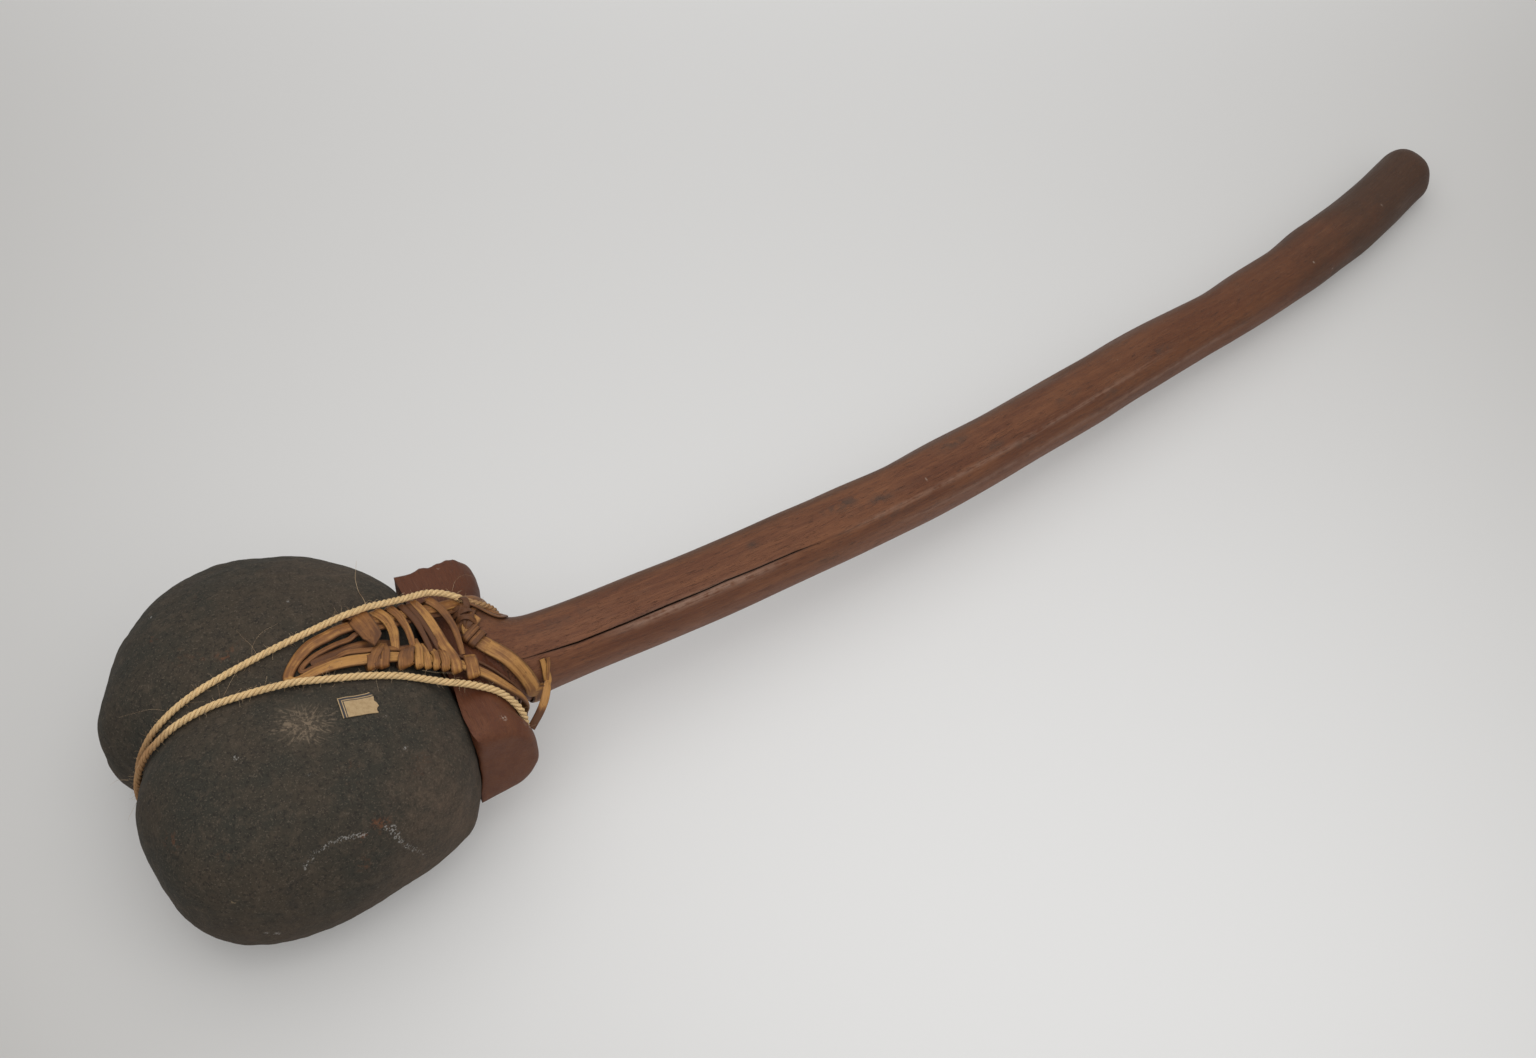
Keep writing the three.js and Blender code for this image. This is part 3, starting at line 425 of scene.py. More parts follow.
colour = layered(
    (0.034, 0.0318, 0.0245),
    ("warm ground", (0.0525, 0.0408, 0.0285), rise_between(broad * 0.5 + patchy * 0.5, 0.4, 0.62)),
    ("dark patches", (0.024, 0.0225, 0.02), rise_between(patchy, 0.54, 0.72) * 0.5),
    ("pale mottle", (0.08, 0.0605, 0.0425), rise_between(mottle, 0.48, 0.68) * 0.55),
    ("pecked pits", (0.016, 0.014, 0.012), rise_between(peck, 0.5, 0.66) * 0.6),
    ("light grit", (0.155, 0.125, 0.092), rise_between(grit, 0.54, 0.7) * 0.55),
    # Painted warm light, where the near lobe's haft side shows paler and warmer
    ("painted_warm_light", (0.135, 0.092, 0.064), painted_warm_light * 0.72),
    ("rust", (0.17, 0.066, 0.03), rise_between(rust, 0.1, 0.9) * 0.6),
    ("chalk", (0.36, 0.345, 0.32), rise_between(chalk, 0.3, 0.75) * 0.6),
    # Lighter and browner towards the bottom of the stone
    ("paler low down", (0.1, 0.066, 0.045), rise_between(part_of(place, 2), 0.075, 0.02) * 0.42),
    ("scratches", (0.25, 0.18, 0.11), scratch * 0.6),
    ("bruise", (0.1, 0.077, 0.054), bruise * 0.45),
    ("star strokes", (0.27, 0.2, 0.135), strokes * rise_between(peck, 0.62, 0.42) * 0.6))
finished(sockets, colour, 0.85 + (grit - 0.5) * 0.25, 0.22)
embossed(peck * 0.6 + grit * 0.5 - strokes * 0.3, 0.7, 0.0006, sockets)
stone_mesh.materials.append(stone_finish)
settled(linked("stone_head_body", stone_mesh), "stone", "stone_head")

# ---------------------------------------------------------------------------------------------
# Haft: one fork of red-brown hardwood. The crossbar is the trunk, split to a flat face for the
# stone, and the handle is the branch: scraped round, swept in plan, worn and cracked along its grain.
BAR_FACE_X, BAR_MIDDLE, BAR_HALF_HEIGHT = 87.3, 66, 30
BAR_NEAR, BAR_FAR, NEAR_ROUND = -74, 49.5, 15
HANDLE_START_X, HANDLE_REACH, BUTT_ROUND = 100.3, 744.4, 13
HANDLE_ROOT, BUTT_START = -11, 730
SHAFT_RINGS, BUTT_RINGS, CAP_RINGS = 412, 10, 5
HANDLE_ROOT_Y, HANDLE_SWEEP, BUTT_HEIGHT = -12, 136.1, 19.2
NECK_SWELL, NECK_SPREAD = 5, 30
SCRIBE_GAP, SCRIBE_LIMIT = 0.6, 4.5
UPPER_FAR, BAR_COLUMNS = 42, 132


def plan_line(stops):
    """A smooth line through stops: the second number at any value of the first."""
    xs, ys = np.array(stops, float).T
    k = np.arange(len(xs))
    after, before = np.minimum(k + 1, len(xs) - 1), np.maximum(k - 1, 0)
    slopes = (ys[after] - ys[before]) / (xs[after] - xs[before])

    def at(x):
        x = np.clip(np.asarray(x, float), xs[0], xs[-1])
        k = np.clip(np.searchsorted(xs, x, side="left") - 1, 0, len(xs) - 2)
        run = xs[k + 1] - xs[k]
        t = (x - xs[k]) / run
        return ((ys[k] * (1 + 2 * t) + slopes[k] * run * t) * (1 - t) ** 2
                + (ys[k + 1] * (3 - 2 * t) - slopes[k + 1] * run * (1 - t)) * t ** 2)

    return at


def bar_depth(y):
    return np.interp(y, (-74, -66, -58, -50, -38, 0, 14, 20, 26, 31, 36, 42),
                     (33.2, 32, 28.8, 29.6, 32.6, 33.6, 33.8, 35.6, 39.2, 42.6, 45.4, 46.6))


handle_sway = plan_line([
    (-20, 0), (250, 0), (360, 0.1), (420, 0.5), (480, 0.5), (520, -1.6), (545, -3.8), (580, -4.6),
    (615, -5.6), (660, -5.0), (680, -4.4), (700, -3.1), (720, -1.2), (742, 0.2), (760, 0.4)])
handle_girth = plan_line([
    (-20, 21.9), (200, 21.1), (360, 20.55), (400, 20.0), (440, 19.75), (480, 19.35), (520, 18.0), (540, 17.8),
    (565, 18.35), (600, 18.35), (620, 18.95), (640, 19.3), (670, 18.9), (700, 18.0), (722, 17.9), (742, 18.5)])


def handle_middle(along):
    y = HANDLE_ROOT_Y + HANDLE_SWEEP * (along / HANDLE_REACH) ** 2 + handle_sway(along)
    z = blend(BAR_MIDDLE, BUTT_HEIGHT, along / (HANDLE_REACH - BUTT_ROUND))
    return np.stack((HANDLE_START_X + along, y, z), axis=-1)


def handle_radius(along):
    return handle_girth(along) + NECK_SWELL * bell(along, NECK_SPREAD)


def unit(vectors):
    return vectors / np.maximum(np.linalg.norm(vectors, axis=-1, keepdims=True), 1e-9)


def turned_from(turn, bearing):
    """Degrees away from a bearing, between -180 and 180."""
    return (turn - bearing + 180) % 360 - 180


def stretch(value, start, full, fading, end):
    """One from full to fading, easing to nothing at start and at end."""
    return ease(value, start, full) * (1 - ease(value, fading, end))


# The crossbar's skin: rings along its length, then rings closing on the middle of each end
bar_turn = np.linspace(0, 2 * math.pi, BAR_COLUMNS, endpoint=False)
bar_steps = [(BAR_NEAR, 0.0, shrink) for shrink in np.linspace(0.08, 0.66, 10)]
for bend in np.linspace(0, math.pi / 2, 13):
    bar_steps.append((BAR_NEAR, NEAR_ROUND * (1 - math.cos(bend)), 0.7 + 0.3 * math.sin(bend)))
for y in np.linspace(BAR_NEAR + NEAR_ROUND + 1, BAR_FAR - 4, 80):
    bar_steps.append((y, 0.0, 1.0))
for bend in np.linspace(0.2, math.pi / 2, 4):
    bar_steps.append((BAR_FAR - 3 + 3 * math.sin(bend), 0.0, 0.95 + 0.05 * math.cos(bend)))
for shrink in np.linspace(0.93, 0.06, 11):
    bar_steps.append((BAR_FAR + 2.2 * (1 - shrink ** 2), 0.0, shrink))
# The near end's upper arris is worn soft, its lower one is crisper and its face side sharp
soft_share = 0.16 + 0.84 * ease(np.sin(bar_turn), -0.4, 0.8)
rings = []
for y, soft, shrink in bar_steps:
    square = 2 / blend(2.45, 3.0, ease(y, -45, 0))
    swell_out = np.maximum(np.cos(bar_turn), 0) ** square
    out = 0.4 + (swell_out - 0.4) * shrink
    rise = signed_power(np.sin(bar_turn), square) * shrink
    y_ring = y + soft * soft_share * (0.4 + 0.6 * ease(swell_out, 0, 0.5))
    rise_ring = BAR_MIDDLE + BAR_HALF_HEIGHT * rise
    rings.append(np.stack((BAR_FACE_X + bar_depth(y_ring) * out, y_ring, rise_ring), axis=-1))
bar_skin = np.vstack((rings[0].mean(0)[None], np.vstack(rings), rings[-1].mean(0)[None]))
rough_end = ease(bar_skin[:, 1], 38, 48)
bar_skin[:, 1] += rough_end * (2.4 * grain_of(bar_skin * (1, 0.2, 0.5), 9, 11)
                               + 1.5 * grain_of(bar_skin * (1, 0.2, 0.6), 4, 12))
bar_skin[:, 1] += (1 - ease(bar_skin[:, 1], -72, -60)) * 0.8 * grain_of(bar_skin, 14, 13)
from_core = unit((bar_skin - (BAR_FACE_X + 14, 0, BAR_MIDDLE)) * (1, 0, 1))
free_side = ease(bar_skin[:, 0], BAR_FACE_X, BAR_FACE_X + 8)
hewn = 0.9 * grain_of(bar_skin * (1, 0.5, 1), 19, 14) + 0.35 * grain_of(bar_skin * (1, 0.4, 1), 7, 15)
bar_skin += from_core * (free_side * (hewn - 0.2))[:, None]
bar_skin[:, 0] = np.maximum(bar_skin[:, 0], BAR_FACE_X)
# Its face is scribed to the stone's curve near the near end
for point in bar_skin:
    touch = stone_tree.ray_cast((point[0] + 60, point[1], point[2]), (-1, 0, 0))[0]
    gap = min(BAR_FACE_X - touch[0] - SCRIBE_GAP, SCRIBE_LIMIT) if touch else SCRIBE_LIMIT
    reach = (1 - ease(point[1], -64, -26)) * (1 - ease(point[0], BAR_FACE_X, BAR_FACE_X + 16))
    point[0] -= max(gap, 0.0) * reach
bar_mesh = skinned("crossbar_skin", in_row(bar_skin), closed_grid(len(bar_steps) + 2, BAR_COLUMNS))

# The handle's skin: its columns bunch along a drying crack on the upper near side
crack_along = (-20, 20, 34, 63, 95, 119, 144, 158, 178, 204, 226, 300, 420, 560, 760)
crack_turn = (126, 127, 128.9, 134.2, 133.6, 132.6, 133.2, 132.4, 134.4, 135.3, 139.5, 141, 138, 134, 130)
bunched = np.array((0.4, 0.9, 1.5, 2.3, 3.3, 4.6, 6.3, 8.5, 11.2, 14.5, 18.2))
spread_columns = np.concatenate((-bunched[::-1], (0,), bunched, np.linspace(22.5, 337.5, 71)))
butt_turn = np.linspace(0.12, math.pi / 2, BUTT_RINGS)
handle_along = np.concatenate((
    np.linspace(HANDLE_ROOT, BUTT_START, SHAFT_RINGS), BUTT_START + BUTT_ROUND * np.sin(butt_turn),
    HANDLE_REACH + 0.5 * np.arange(1, CAP_RINGS + 1) ** 0.5))
butt_bend = np.concatenate((np.zeros(SHAFT_RINGS), butt_turn, np.full(CAP_RINGS, math.pi / 2)))
cap_shrink = np.concatenate((np.ones(SHAFT_RINGS + BUTT_RINGS), np.linspace(0.85, 0.15, CAP_RINGS)))
middle = handle_middle(handle_along)
forward = unit(handle_middle(handle_along + 1) - handle_middle(handle_along - 1))
across = unit(np.cross(forward, (0, 0, 1)))
upright = np.cross(across, forward)
around = np.interp(handle_along, crack_along, crack_turn)[:, None] + spread_columns[None, :]
from_crack = turned_from(spread_columns, 0)
angle = np.radians(around)
radius = (handle_radius(handle_along) * blend(1, 0.45, 1 - np.cos(butt_bend)) * cap_shrink)[:, None] + 0 * angle
points = lambda r: (middle[:, None] - across[:, None] * (r * np.cos(angle))[..., None]
                    + upright[:, None] * (r * np.sin(angle))[..., None])
smooth_skin = points(radius).reshape(-1, 3)
lumps = 0.75 * grain_of(smooth_skin * (0.4, 1, 1), 26, 21) + 0.5 * grain_of(smooth_skin * (0.22, 1, 1), 11, 22)
lumps = lumps.reshape(angle.shape)
facets = 0.32 * np.cos(np.radians(5 * around + 40 * np.sin(handle_along / 90)[:, None]))
along_column = handle_along[:, None]
ridge = 0.7 * np.exp(-np.abs(from_crack) / 15)[None, :] * stretch(along_column, 40, 120, 470, 560)
# Height, place along, reach, bearing and breadth of a knob, two hollows and the web in the crook
swellings = 0
for height, at, reach, bearing, breadth in (
    (0.7, 628, 11, UPPER_FAR, 30), (-0.6, 646, 14, 205, 34), (-1.6, 282, 26, UPPER_FAR, 42),
    (15, 14, 14, UPPER_FAR, 36),
):
    touched = bell(along_column - at, reach) * bell(turned_from(around, bearing), breadth)
    swellings = swellings + height * touched
crack_open = stretch(along_column, 18, 60, 196, 228)
wander = waver(handle_along / 9, 3.1)[:, None]
crack_half = (0.22 + 0.24 * bell(along_column - 90, 55) + 0.1 * wander) * crack_open
crack_depth = (3.4 + 1.2 * wander) * crack_open
arc = np.abs(np.radians(from_crack))[None, :] * handle_radius(handle_along)[:, None]
crack = crack_depth * np.clip(1 - arc / np.maximum(crack_half, 1e-3), 0, 1)
lower_lip = 0.65 * crack_open * np.exp(-np.abs(from_crack) / 20)[None, :] * (from_crack > 0)[None, :]
keep_shape = cap_shrink[:, None] * blend(1, 0.6, np.sin(butt_bend))[:, None]
radius = radius + (lumps + facets + ridge + swellings - 0.15) * keep_shape - crack - lower_lip
handle_skin = points(radius)
end_points = handle_middle(np.array((HANDLE_ROOT, HANDLE_REACH + 1.2)))
handle_skin = np.vstack((end_points[:1], handle_skin.reshape(-1, 3), end_points[1:]))
handle_skin[:, 2] = np.maximum(handle_skin[:, 2], 0.0)
handle_mesh = skinned("handle_skin", in_row(handle_skin), closed_grid(len(handle_along) + 2, len(spread_columns)))

# Both skins become one fork of wood
bar_piece, fork = linked("crossbar_cut", bar_mesh), linked("haft_wood", handle_mesh)
join = fork.modifiers.new("one fork", "BOOLEAN")
join.operation, join.solver, join.object = "UNION", "EXACT", bar_piece
haft_mesh = bpy.data.meshes.new_from_object(fork.evaluated_get(bpy.context.evaluated_depsgraph_get()))
fork.modifiers.remove(join)
fork.data = haft_mesh
bpy.data.objects.remove(bar_piece)
outward(haft_mesh)
haft_skin = (vectors_of(haft_mesh.vertices) - foot) * 1000

# Marks of wear, laid out along the handle and round it, and masks for the painted shade and light on its sides
# and in its crack
along = haft_skin[:, 0] - HANDLE_START_X
off_middle = haft_skin - handle_middle(along)
turn = np.degrees(np.arctan2(off_middle[:, 2], off_middle[:, 1]))
in_bar = (np.clip((haft_skin[:, 0] - BAR_FACE_X) / bar_depth(haft_skin[:, 1]), 0, None) ** 3
          + (np.abs(haft_skin[:, 2] - BAR_MIDDLE) / BAR_HALF_HEIGHT) ** 3) < 1.12
in_bar &= haft_skin[:, 0] < 132
off_bar = np.stack((along, off_middle[:, 1], off_middle[:, 2]), axis=-1)
on_bar = np.stack((haft_skin[:, 1] + 2000, haft_skin[:, 0], haft_skin[:, 2]), axis=-1)
mark(haft_mesh, "grain", np.where(in_bar[:, None], on_bar, off_bar))
on_handle = np.where(in_bar, 0.0, 1.0)
beside = turned_from(turn, np.interp(along, crack_along, crack_turn))
worn = bell(beside - 6, 7) * stretch(along, 70, 110, 165, 215)
worn = np.maximum(worn, 0.55 * bell(beside, 4) * stretch(along, 225, 260, 430, 520))
worn = np.maximum(worn, 0.5 * bell(beside - 32, 5) * stretch(along, 250, 300, 520, 600))
mark(haft_mesh, "worn", worn * on_handle)


def patches(rows):
    """Touch of patches on the handle, given as place along, bearing, length, breadth and strength."""
    touches = [strength * bell(along - at, length) * bell(turned_from(turn, bearing), breadth)
               for at, bearing, length, breadth, strength in rows]
    return np.max(touches, axis=0) * on_handle


mark(haft_mesh, "stain", patches([
    (245, 98, 13, 9, 1.0), (268, 116, 16, 8, 0.9), (272, 149, 12, 6, 0.6), (227, 174, 9, 7, 0.7),
    (328, 87, 12, 9, 0.9), (350, 126, 8, 6, 0.8), (371, 144, 8, 5, 0.7), (412, 113, 9, 6, 0.6),
    (440, 147, 7, 5, 0.7), (485, 126, 10, 6, 0.7), (183, 97, 3.5, 7, 0.9), (620, 40, 16, 26, 0.6),
    (640, 196, 12, 22, 0.8), (552, 160, 9, 8, 0.5), (60, 95, 26, 12, 0.35),
]))
bar_flecks = spots(haft_skin, [
    (103.2, -65.8, 94, 2.4, 1.2), (105.7, -66.6, 93.6, 1.6, 1.1), (113.2, -66.8, 82.5, 2.2, 0.9),
    (116.2, -67.4, 79.5, 2.0, 0.7), (112, 44, 94, 1.8, 0.7)])
handle_flecks = patches([(at, bearing, 1.1, 9, 0.6) for at, bearing in (
    (573, 141), (619, 133), (635, 172), (300, 120), (455, 100), (690, 128))])
mark(haft_mesh, "fleck", np.maximum(bar_flecks, handle_flecks))
# Painted shade and light: minus one on the handle's far side up to its upper edge, plus one on its near, lower
# side
mark(haft_mesh, "side", (ease(turn % 360, 150, 215) - 1 + ease(turn % 360, 48, 92)) * on_handle)
# Painted shade down the middle of the crack, fading out past its end
inside = bell(beside, 1.8) * stretch(along, 20, 60, 200, 228) * on_handle
mark(haft_mesh, "inside", np.clip(inside + bell(beside, 1.0) * stretch(along, 226, 234, 236, 262) * 0.5, 0, 1))

wood_finish, pen, sockets = new_finish("scraped red-brown wood")
grain, place = kept_mark(pen, "grain", 1), place_of(pen)
length_along, side = part_of(grain, 0), kept_mark(pen, "side")
streak = cloud(stretched(grain, (0.014, 0.16, 0.16)), 1, 4, 0.65)
fibre = cloud(stretched(grain, (0.05, 1.1, 1.1)), 1, 3, 0.65)
pores = cloud(stretched(grain, (0.16, 2.3, 2.3), (31, 7, 3)), 1, 2, 0.6)
fine = cloud(stretched(grain, (0.09, 3.0, 3.0), (5, 11, 2)), 1, 3, 0.7)
smear = cloud(place, 26, 4, 0.6)
is_bar = rise_between(length_along, 1200, 1300)
on_butt = rise_between(length_along + (smear - 0.5) * 240, 555, 710) * (1 - is_bar)
smeared = rise_between(smear, 0.56, 0.76) * rise_between(fibre, 0.56, 0.36)
worn = kept_mark(pen, "worn") * rise_between(fibre * 0.6 + cloud(place, 210, 3, 0.6) * 0.4, 0.36, 0.56)
stain = kept_mark(pen, "stain") * rise_between(cloud(place, 160, 4, 0.7), 0.36, 0.6)
fleck = kept_mark(pen, "fleck") * rise_between(cloud(place, 620, 2, 0.6), 0.38, 0.56)
colour = layered(
    (0.108, 0.036, 0.016),
    ("pale streaks", (0.196, 0.076, 0.033), rise_between(streak * 0.6 + fibre * 0.4, 0.36, 0.66)),
    ("crossbar", (0.092, 0.0245, 0.008), is_bar * (rise_between(length_along, 1925, 1970) * 0.3 + 0.55)),
    # Painted shade darkens the handle's far, upper edge, and painted light lifts its near, lower side
    ("painted far-side shade", (0.06, 0.03, 0.011), rise_between(0 - side, 0, 1) * 0.5),
    ("near side", (0.235, 0.122, 0.085), rise_between(side, 0, 1) * 0.45),
    ("outer half", (0.1, 0.033, 0.0115), rise_between(length_along, 330, 520) * (1 - is_bar) * 0.4),
    ("dark butt", (0.043, 0.0235, 0.0135), on_butt * 0.8),
    ("dark fibre", (0.075, 0.029, 0.015), rise_between(fibre, 0.55, 0.74) * 0.5),
    ("pores", (0.05, 0.022, 0.013), rise_between(pores, 0.57, 0.7) * 0.65),
    ("pale smears", (0.2, 0.105, 0.055), smeared * 0.4),
    ("light lines", (0.25, 0.13, 0.075), rise_between(fine, 0.56, 0.72) * 0.3),
    ("dark lines", (0.045, 0.018, 0.01), rise_between(fine, 0.46, 0.3) * 0.4),
    ("worn wood", (0.31, 0.19, 0.135), worn * 0.75),
    ("stains", (0.058, 0.041, 0.032), stain * 0.8),
    ("flecks", (0.5, 0.41, 0.33), rise_between(fleck, 0.25, 0.8) * 0.8),
    # Painted shade, near black, in the crack
    ("painted shade in the crack", (0.012, 0.008, 0.006), kept_mark(pen, "inside") * 0.95))
finished(sockets, colour, 0.56 + (fibre - 0.5) * 0.35 + stain * 0.15 - worn * 0.08, 0.28)
pitted = fibre * 0.7 - rise_between(pores, 0.58, 0.72) * 0.7 + cloud(place, 420, 2, 0.5) * 0.25
embossed(pitted, 0.55, 0.0006, sockets)
haft_mesh.materials.clear()
haft_mesh.materials.append(wood_finish)
settled(fork, "wood", "haft")

# ---------------------------------------------------------------------------------------------
# Cane sling: a split cane bent double over the stone, its two legs pulled round the back of the
# crossbar and under the stone. A thinner strip and a flat one lie inside its bight.
CANE_WIDTH, CANE_THICKNESS, INNER_WIDTH, INNER_THICKNESS = 7, 2.5, 4, 2.1
SLING_UNDER_X, INNER_INSET = 62, 6.1
TAUT_STATIONS, SLING_STATIONS, FLAT_STATIONS = 720, 480, 44
LEG_STAND_OFF, LEG_BED_HALF, BIGHT_GAP = 1.45, 8.1, 0.35
far_line = plan_line([
    (0, 1), (24, 4.2), (36, 5.0), (48, 5.8), (98, 12.4), (108, 14.5), (114, 15.5), (122, 17.5), (132, 19)])
near_line = plan_line([
    (0, -15), (24, -16.7), (36, -18.6), (47, -20.9), (60, -22.4), (71, -23.8), (78, -24.9), (85, -26.4),
    (91, -28.8), (97, -31.8), (103, -36), (108, -41), (115.4, -48.4), (121, -51), (132, -52)])


def taut_hoop(flat, stand_off):
    """The hoop a string takes when pulled tight round points of a plane, with its outward ways."""
    bearing = np.radians(np.arange(360))
    ways = np.column_stack((np.cos(bearing), np.sin(bearing)))
    best = flat[np.argmax(flat @ ways.T, axis=0)]
    best = best + ways * stand_off(best[:, 0], ways[:, 1])[:, None]
    hoop = evenly(np.column_stack((best, 0 * bearing, ways)), TAUT_STATIONS, True)
    return hoop[:, :2], unit(hoop[:, 3:])


def upright_hoop(skins, top_line, under_line, half_width, stand_off):
    """A taut hoop that stands on a line in plan, round all skins within half its width."""
    line = lambda x, z: np.where(z >= STONE_MIDDLE, top_line(x), under_line(x))
    near_sheet = [skin[np.abs(skin[:, 1] - line(skin[:, 0], skin[:, 2])) <= half_width] for skin in skins]
    flat, ways = taut_hoop(np.vstack(near_sheet)[:, [0, 2]], stand_off)
    spots_on = np.column_stack((flat[:, 0], line(flat[:, 0], flat[:, 1]), flat[:, 1]))
    return np.column_stack((spots_on, ways[:, 0], 0 * ways[:, 0], ways[:, 1]))


def leg_lift(x):
    """How far the sling's legs are held off the stone by what is tucked under them."""
    return 2.8 * ease(x, 12, 46)


def sling_leg(line):
    """One leg: the part of a hoop round stone and crossbar that is outside the bend."""
    lifted = lambda x, up: LEG_STAND_OFF + ease(up, 0, 0.3) * leg_lift(x)
    hoop = upright_hoop([stone_skin, bar_skin], line, line, LEG_BED_HALF, lifted)
    inner_side = np.flatnonzero(hoop[:, 3] < 0)
    return np.vstack((hoop[inner_side[-1] + 1:], hoop[:inner_side[0]]))


def stone_height(x, y, upward=True):
    start, way = ((x, y, 300), (0, 0, -1)) if upward else ((x, y, -100), (0, 0, 1))
    return stone_tree.ray_cast(start, way)[0][2]


def smooth_path(points, count):
    """A smooth curve through a few points, with even stations."""
    points = np.asarray(points, float)
    padded = np.vstack((2 * points[0] - points[1], points, 2 * points[-1] - points[-2]))
    parts = []
    for k in range(1, len(padded) - 2):
        t = np.linspace(0, 1, 24, endpoint=k == len(padded) - 3)[:, None]
        a, b, c, d = padded[k - 1:k + 3]
        parts.append(0.5 * (2 * b + (c - a) * t + (2 * a - 5 * b + 4 * c - d) * t * t
                            + (3 * b - a - 3 * c + d) * t ** 3))
    return evenly(np.vstack(parts), count)


def sling_bight(stops, width, thickness, upward):
    """The bend that joins both legs, lying on the stone."""
    plan = smooth_path([(*stop, 0) for stop in stops], 34)[:, :2]
    stations = []
    for spot, step in zip(plan, unit(np.gradient(plan, axis=0))):
        way = np.array((step[1], -step[0]))
        edges = [stone_height(*(spot + way * half * width / 2), upward) for half in (-1, 0, 1)]
        ends = [stone_height(*(spot + step * half), upward) for half in (-2, 2)]
        slope = way * (edges[2] - edges[0]) / width + step * (ends[1] - ends[0]) / 4
        out = unit(np.array((-slope[0], -slope[1], 1.0))) * (1 if upward else -1)
        level = (edges[0] + edges[2]) / 2
        high = max(edges[1], level) if upward else min(edges[1], level)
        lift = leg_lift(spot[0]) if upward else 0
        raised = np.array((*spot, high + lift)) + out * (thickness / 2 + BIGHT_GAP)
        stations.append(np.concatenate((raised, out)))
    return np.array(stations)


def soothed(path, rounds):
    """Rubs the corners off a closed path."""
    for _ in range(rounds):
        path = path * 0.5 + (np.roll(path, 1, axis=0) + np.roll(path, -1, axis=0)) * 0.25
    return path


def sling_hoop(far_leg, near_leg, inset, width, thickness, bight):
    """Both legs, the bend on top of the stone and the one under it, as one closed path."""
    kept = lambda leg, end_x: leg[leg[:, 0] >= np.where(leg[:, 5] > 0, end_x + 3, SLING_UNDER_X + 1)]
    top = sling_bight(bight, width, thickness, True)
    far_y, near_y = far_line(SLING_UNDER_X) - inset, near_line(SLING_UNDER_X) + inset
    mid, reach = (far_y + near_y) / 2, (far_y - near_y) / 2
    half_turn = [(SLING_UNDER_X - reach * math.sin(bend), mid - reach * math.cos(bend))
                 for bend in np.linspace(0, math.pi, 9)]
    under = sling_bight(half_turn, width, thickness, False)
    half = len(under) // 2
    far_part, near_part = kept(far_leg, bight[0][0]), kept(near_leg, bight[-1][0])
    hoop = np.vstack((under[half:], far_part, top, near_part[::-1], under[:half]))
    return soothed(evenly(hoop, SLING_STATIONS, True), 6)


def moved_aside(leg, line, distance):
    slope = line(leg[:, 0] + 0.5) - line(leg[:, 0] - 0.5)
    beside = leg.copy()
    beside[:, 1] += distance * np.hypot(1, slope)
    return beside


def strip(path, width, thickness, tone, closed=False, lean=0.0):
    """One strip: stations with their outward ways, and its width, thickness and tone at each."""
    points, out = path[:, :3], path[:, 3:6]
    spread = lambda value: np.broadcast_to(np.asarray(value, float), (len(path),))
    ahead = np.roll(points, -1, axis=0) - np.roll(points, 1, axis=0) if closed else np.gradient(points, axis=0)
    ahead = unit(ahead)
    out = unit(out - ahead * np.sum(out * ahead, axis=1, keepdims=True))
    side, lean = np.cross(out, ahead), spread(lean)[:, None]
    out, side = out * np.cos(lean) + side * np.sin(lean), side * np.cos(lean) - out * np.sin(lean)
    return (in_row(points), out, side, spread(width) / 2 * 0.001, spread(thickness) / 2 * 0.001,
            spread(tone), run_along(points), closed)


def strip_paths(name, strips):
    """A mesh of bare edges that carries the strips' sizes and ways for the tree that shapes them."""
    edges, start = [], 0
    for points, *_, closed in strips:
        count = len(points)
        edges += [(start + k, start + (k + 1) % count) for k in range(count if closed else count - 1)]
        start += count
    stack = lambda k: np.concatenate([item[k] for item in strips])
    mesh = bpy.data.meshes.new(name)
    mesh.from_pydata(stack(0).tolist(), edges, [])
    for k, label in enumerate((
            "middle", "outward", "sideways", "half_width", "half_thickness", "tone", "along")):
        mark(mesh, label, stack(k))
    mark(mesh, "number", np.concatenate([np.full(len(item[0]), k * 7.31) for k, item in enumerate(strips)]))
    return mesh


def new_tree(name, inputs):
    """A geometry tree with named inputs: a pen for it and its inputs by name."""
    tree = bpy.data.node_groups.new(name, "GeometryNodeTree")
    tree.interface.new_socket("Geometry", in_out="INPUT", socket_type="NodeSocketGeometry")
    for label, kind in inputs:
        tree.interface.new_socket(label, in_out="INPUT", socket_type=kind)
    tree.interface.new_socket("Geometry", in_out="OUTPUT", socket_type="NodeSocketGeometry")
    entry = tree.nodes.new("NodeGroupInput")
    return Wash(tree), {socket.name: Wash(tree, socket) for socket in entry.outputs if socket.name}


def end_tree(shape, material):
    """Closes a tree with the finish for what it shaped."""
    real = shape.node("GeometryNodeRealizeInstances", {}, {"Geometry": shape})
    dressed = shape.node("GeometryNodeSetMaterial", {}, {"Geometry": real, "Material": material})
    dressed.into(shape.tree.nodes.new("NodeGroupOutput").inputs[0])


def shaped(name, tree, path, values):
    """The plain mesh that a tree makes of a path."""
    piece = linked(name, path)
    maker = piece.modifiers.new("maker", "NODES")
    maker.node_group = tree
    for socket in tree.interface.items_tree:
        if socket.in_out == "INPUT" and socket.name in values:
            maker[socket.identifier] = values[socket.name]
    depsgraph = bpy.context.evaluated_depsgraph_get()
    mesh = bpy.data.meshes.new_from_object(
        piece.evaluated_get(depsgraph), preserve_all_data_layers=True, depsgraph=depsgraph)
    piece.modifiers.remove(maker)
    piece.data = mesh
    outward(mesh)
    return piece


def made_of_strips(name, strips, values, slot, *nodes):
    """A finished piece of strips, shaped along their paths."""
    return settled(shaped(name, cane_tree, strip_paths(f"{name} path", strips), values), slot, *nodes)


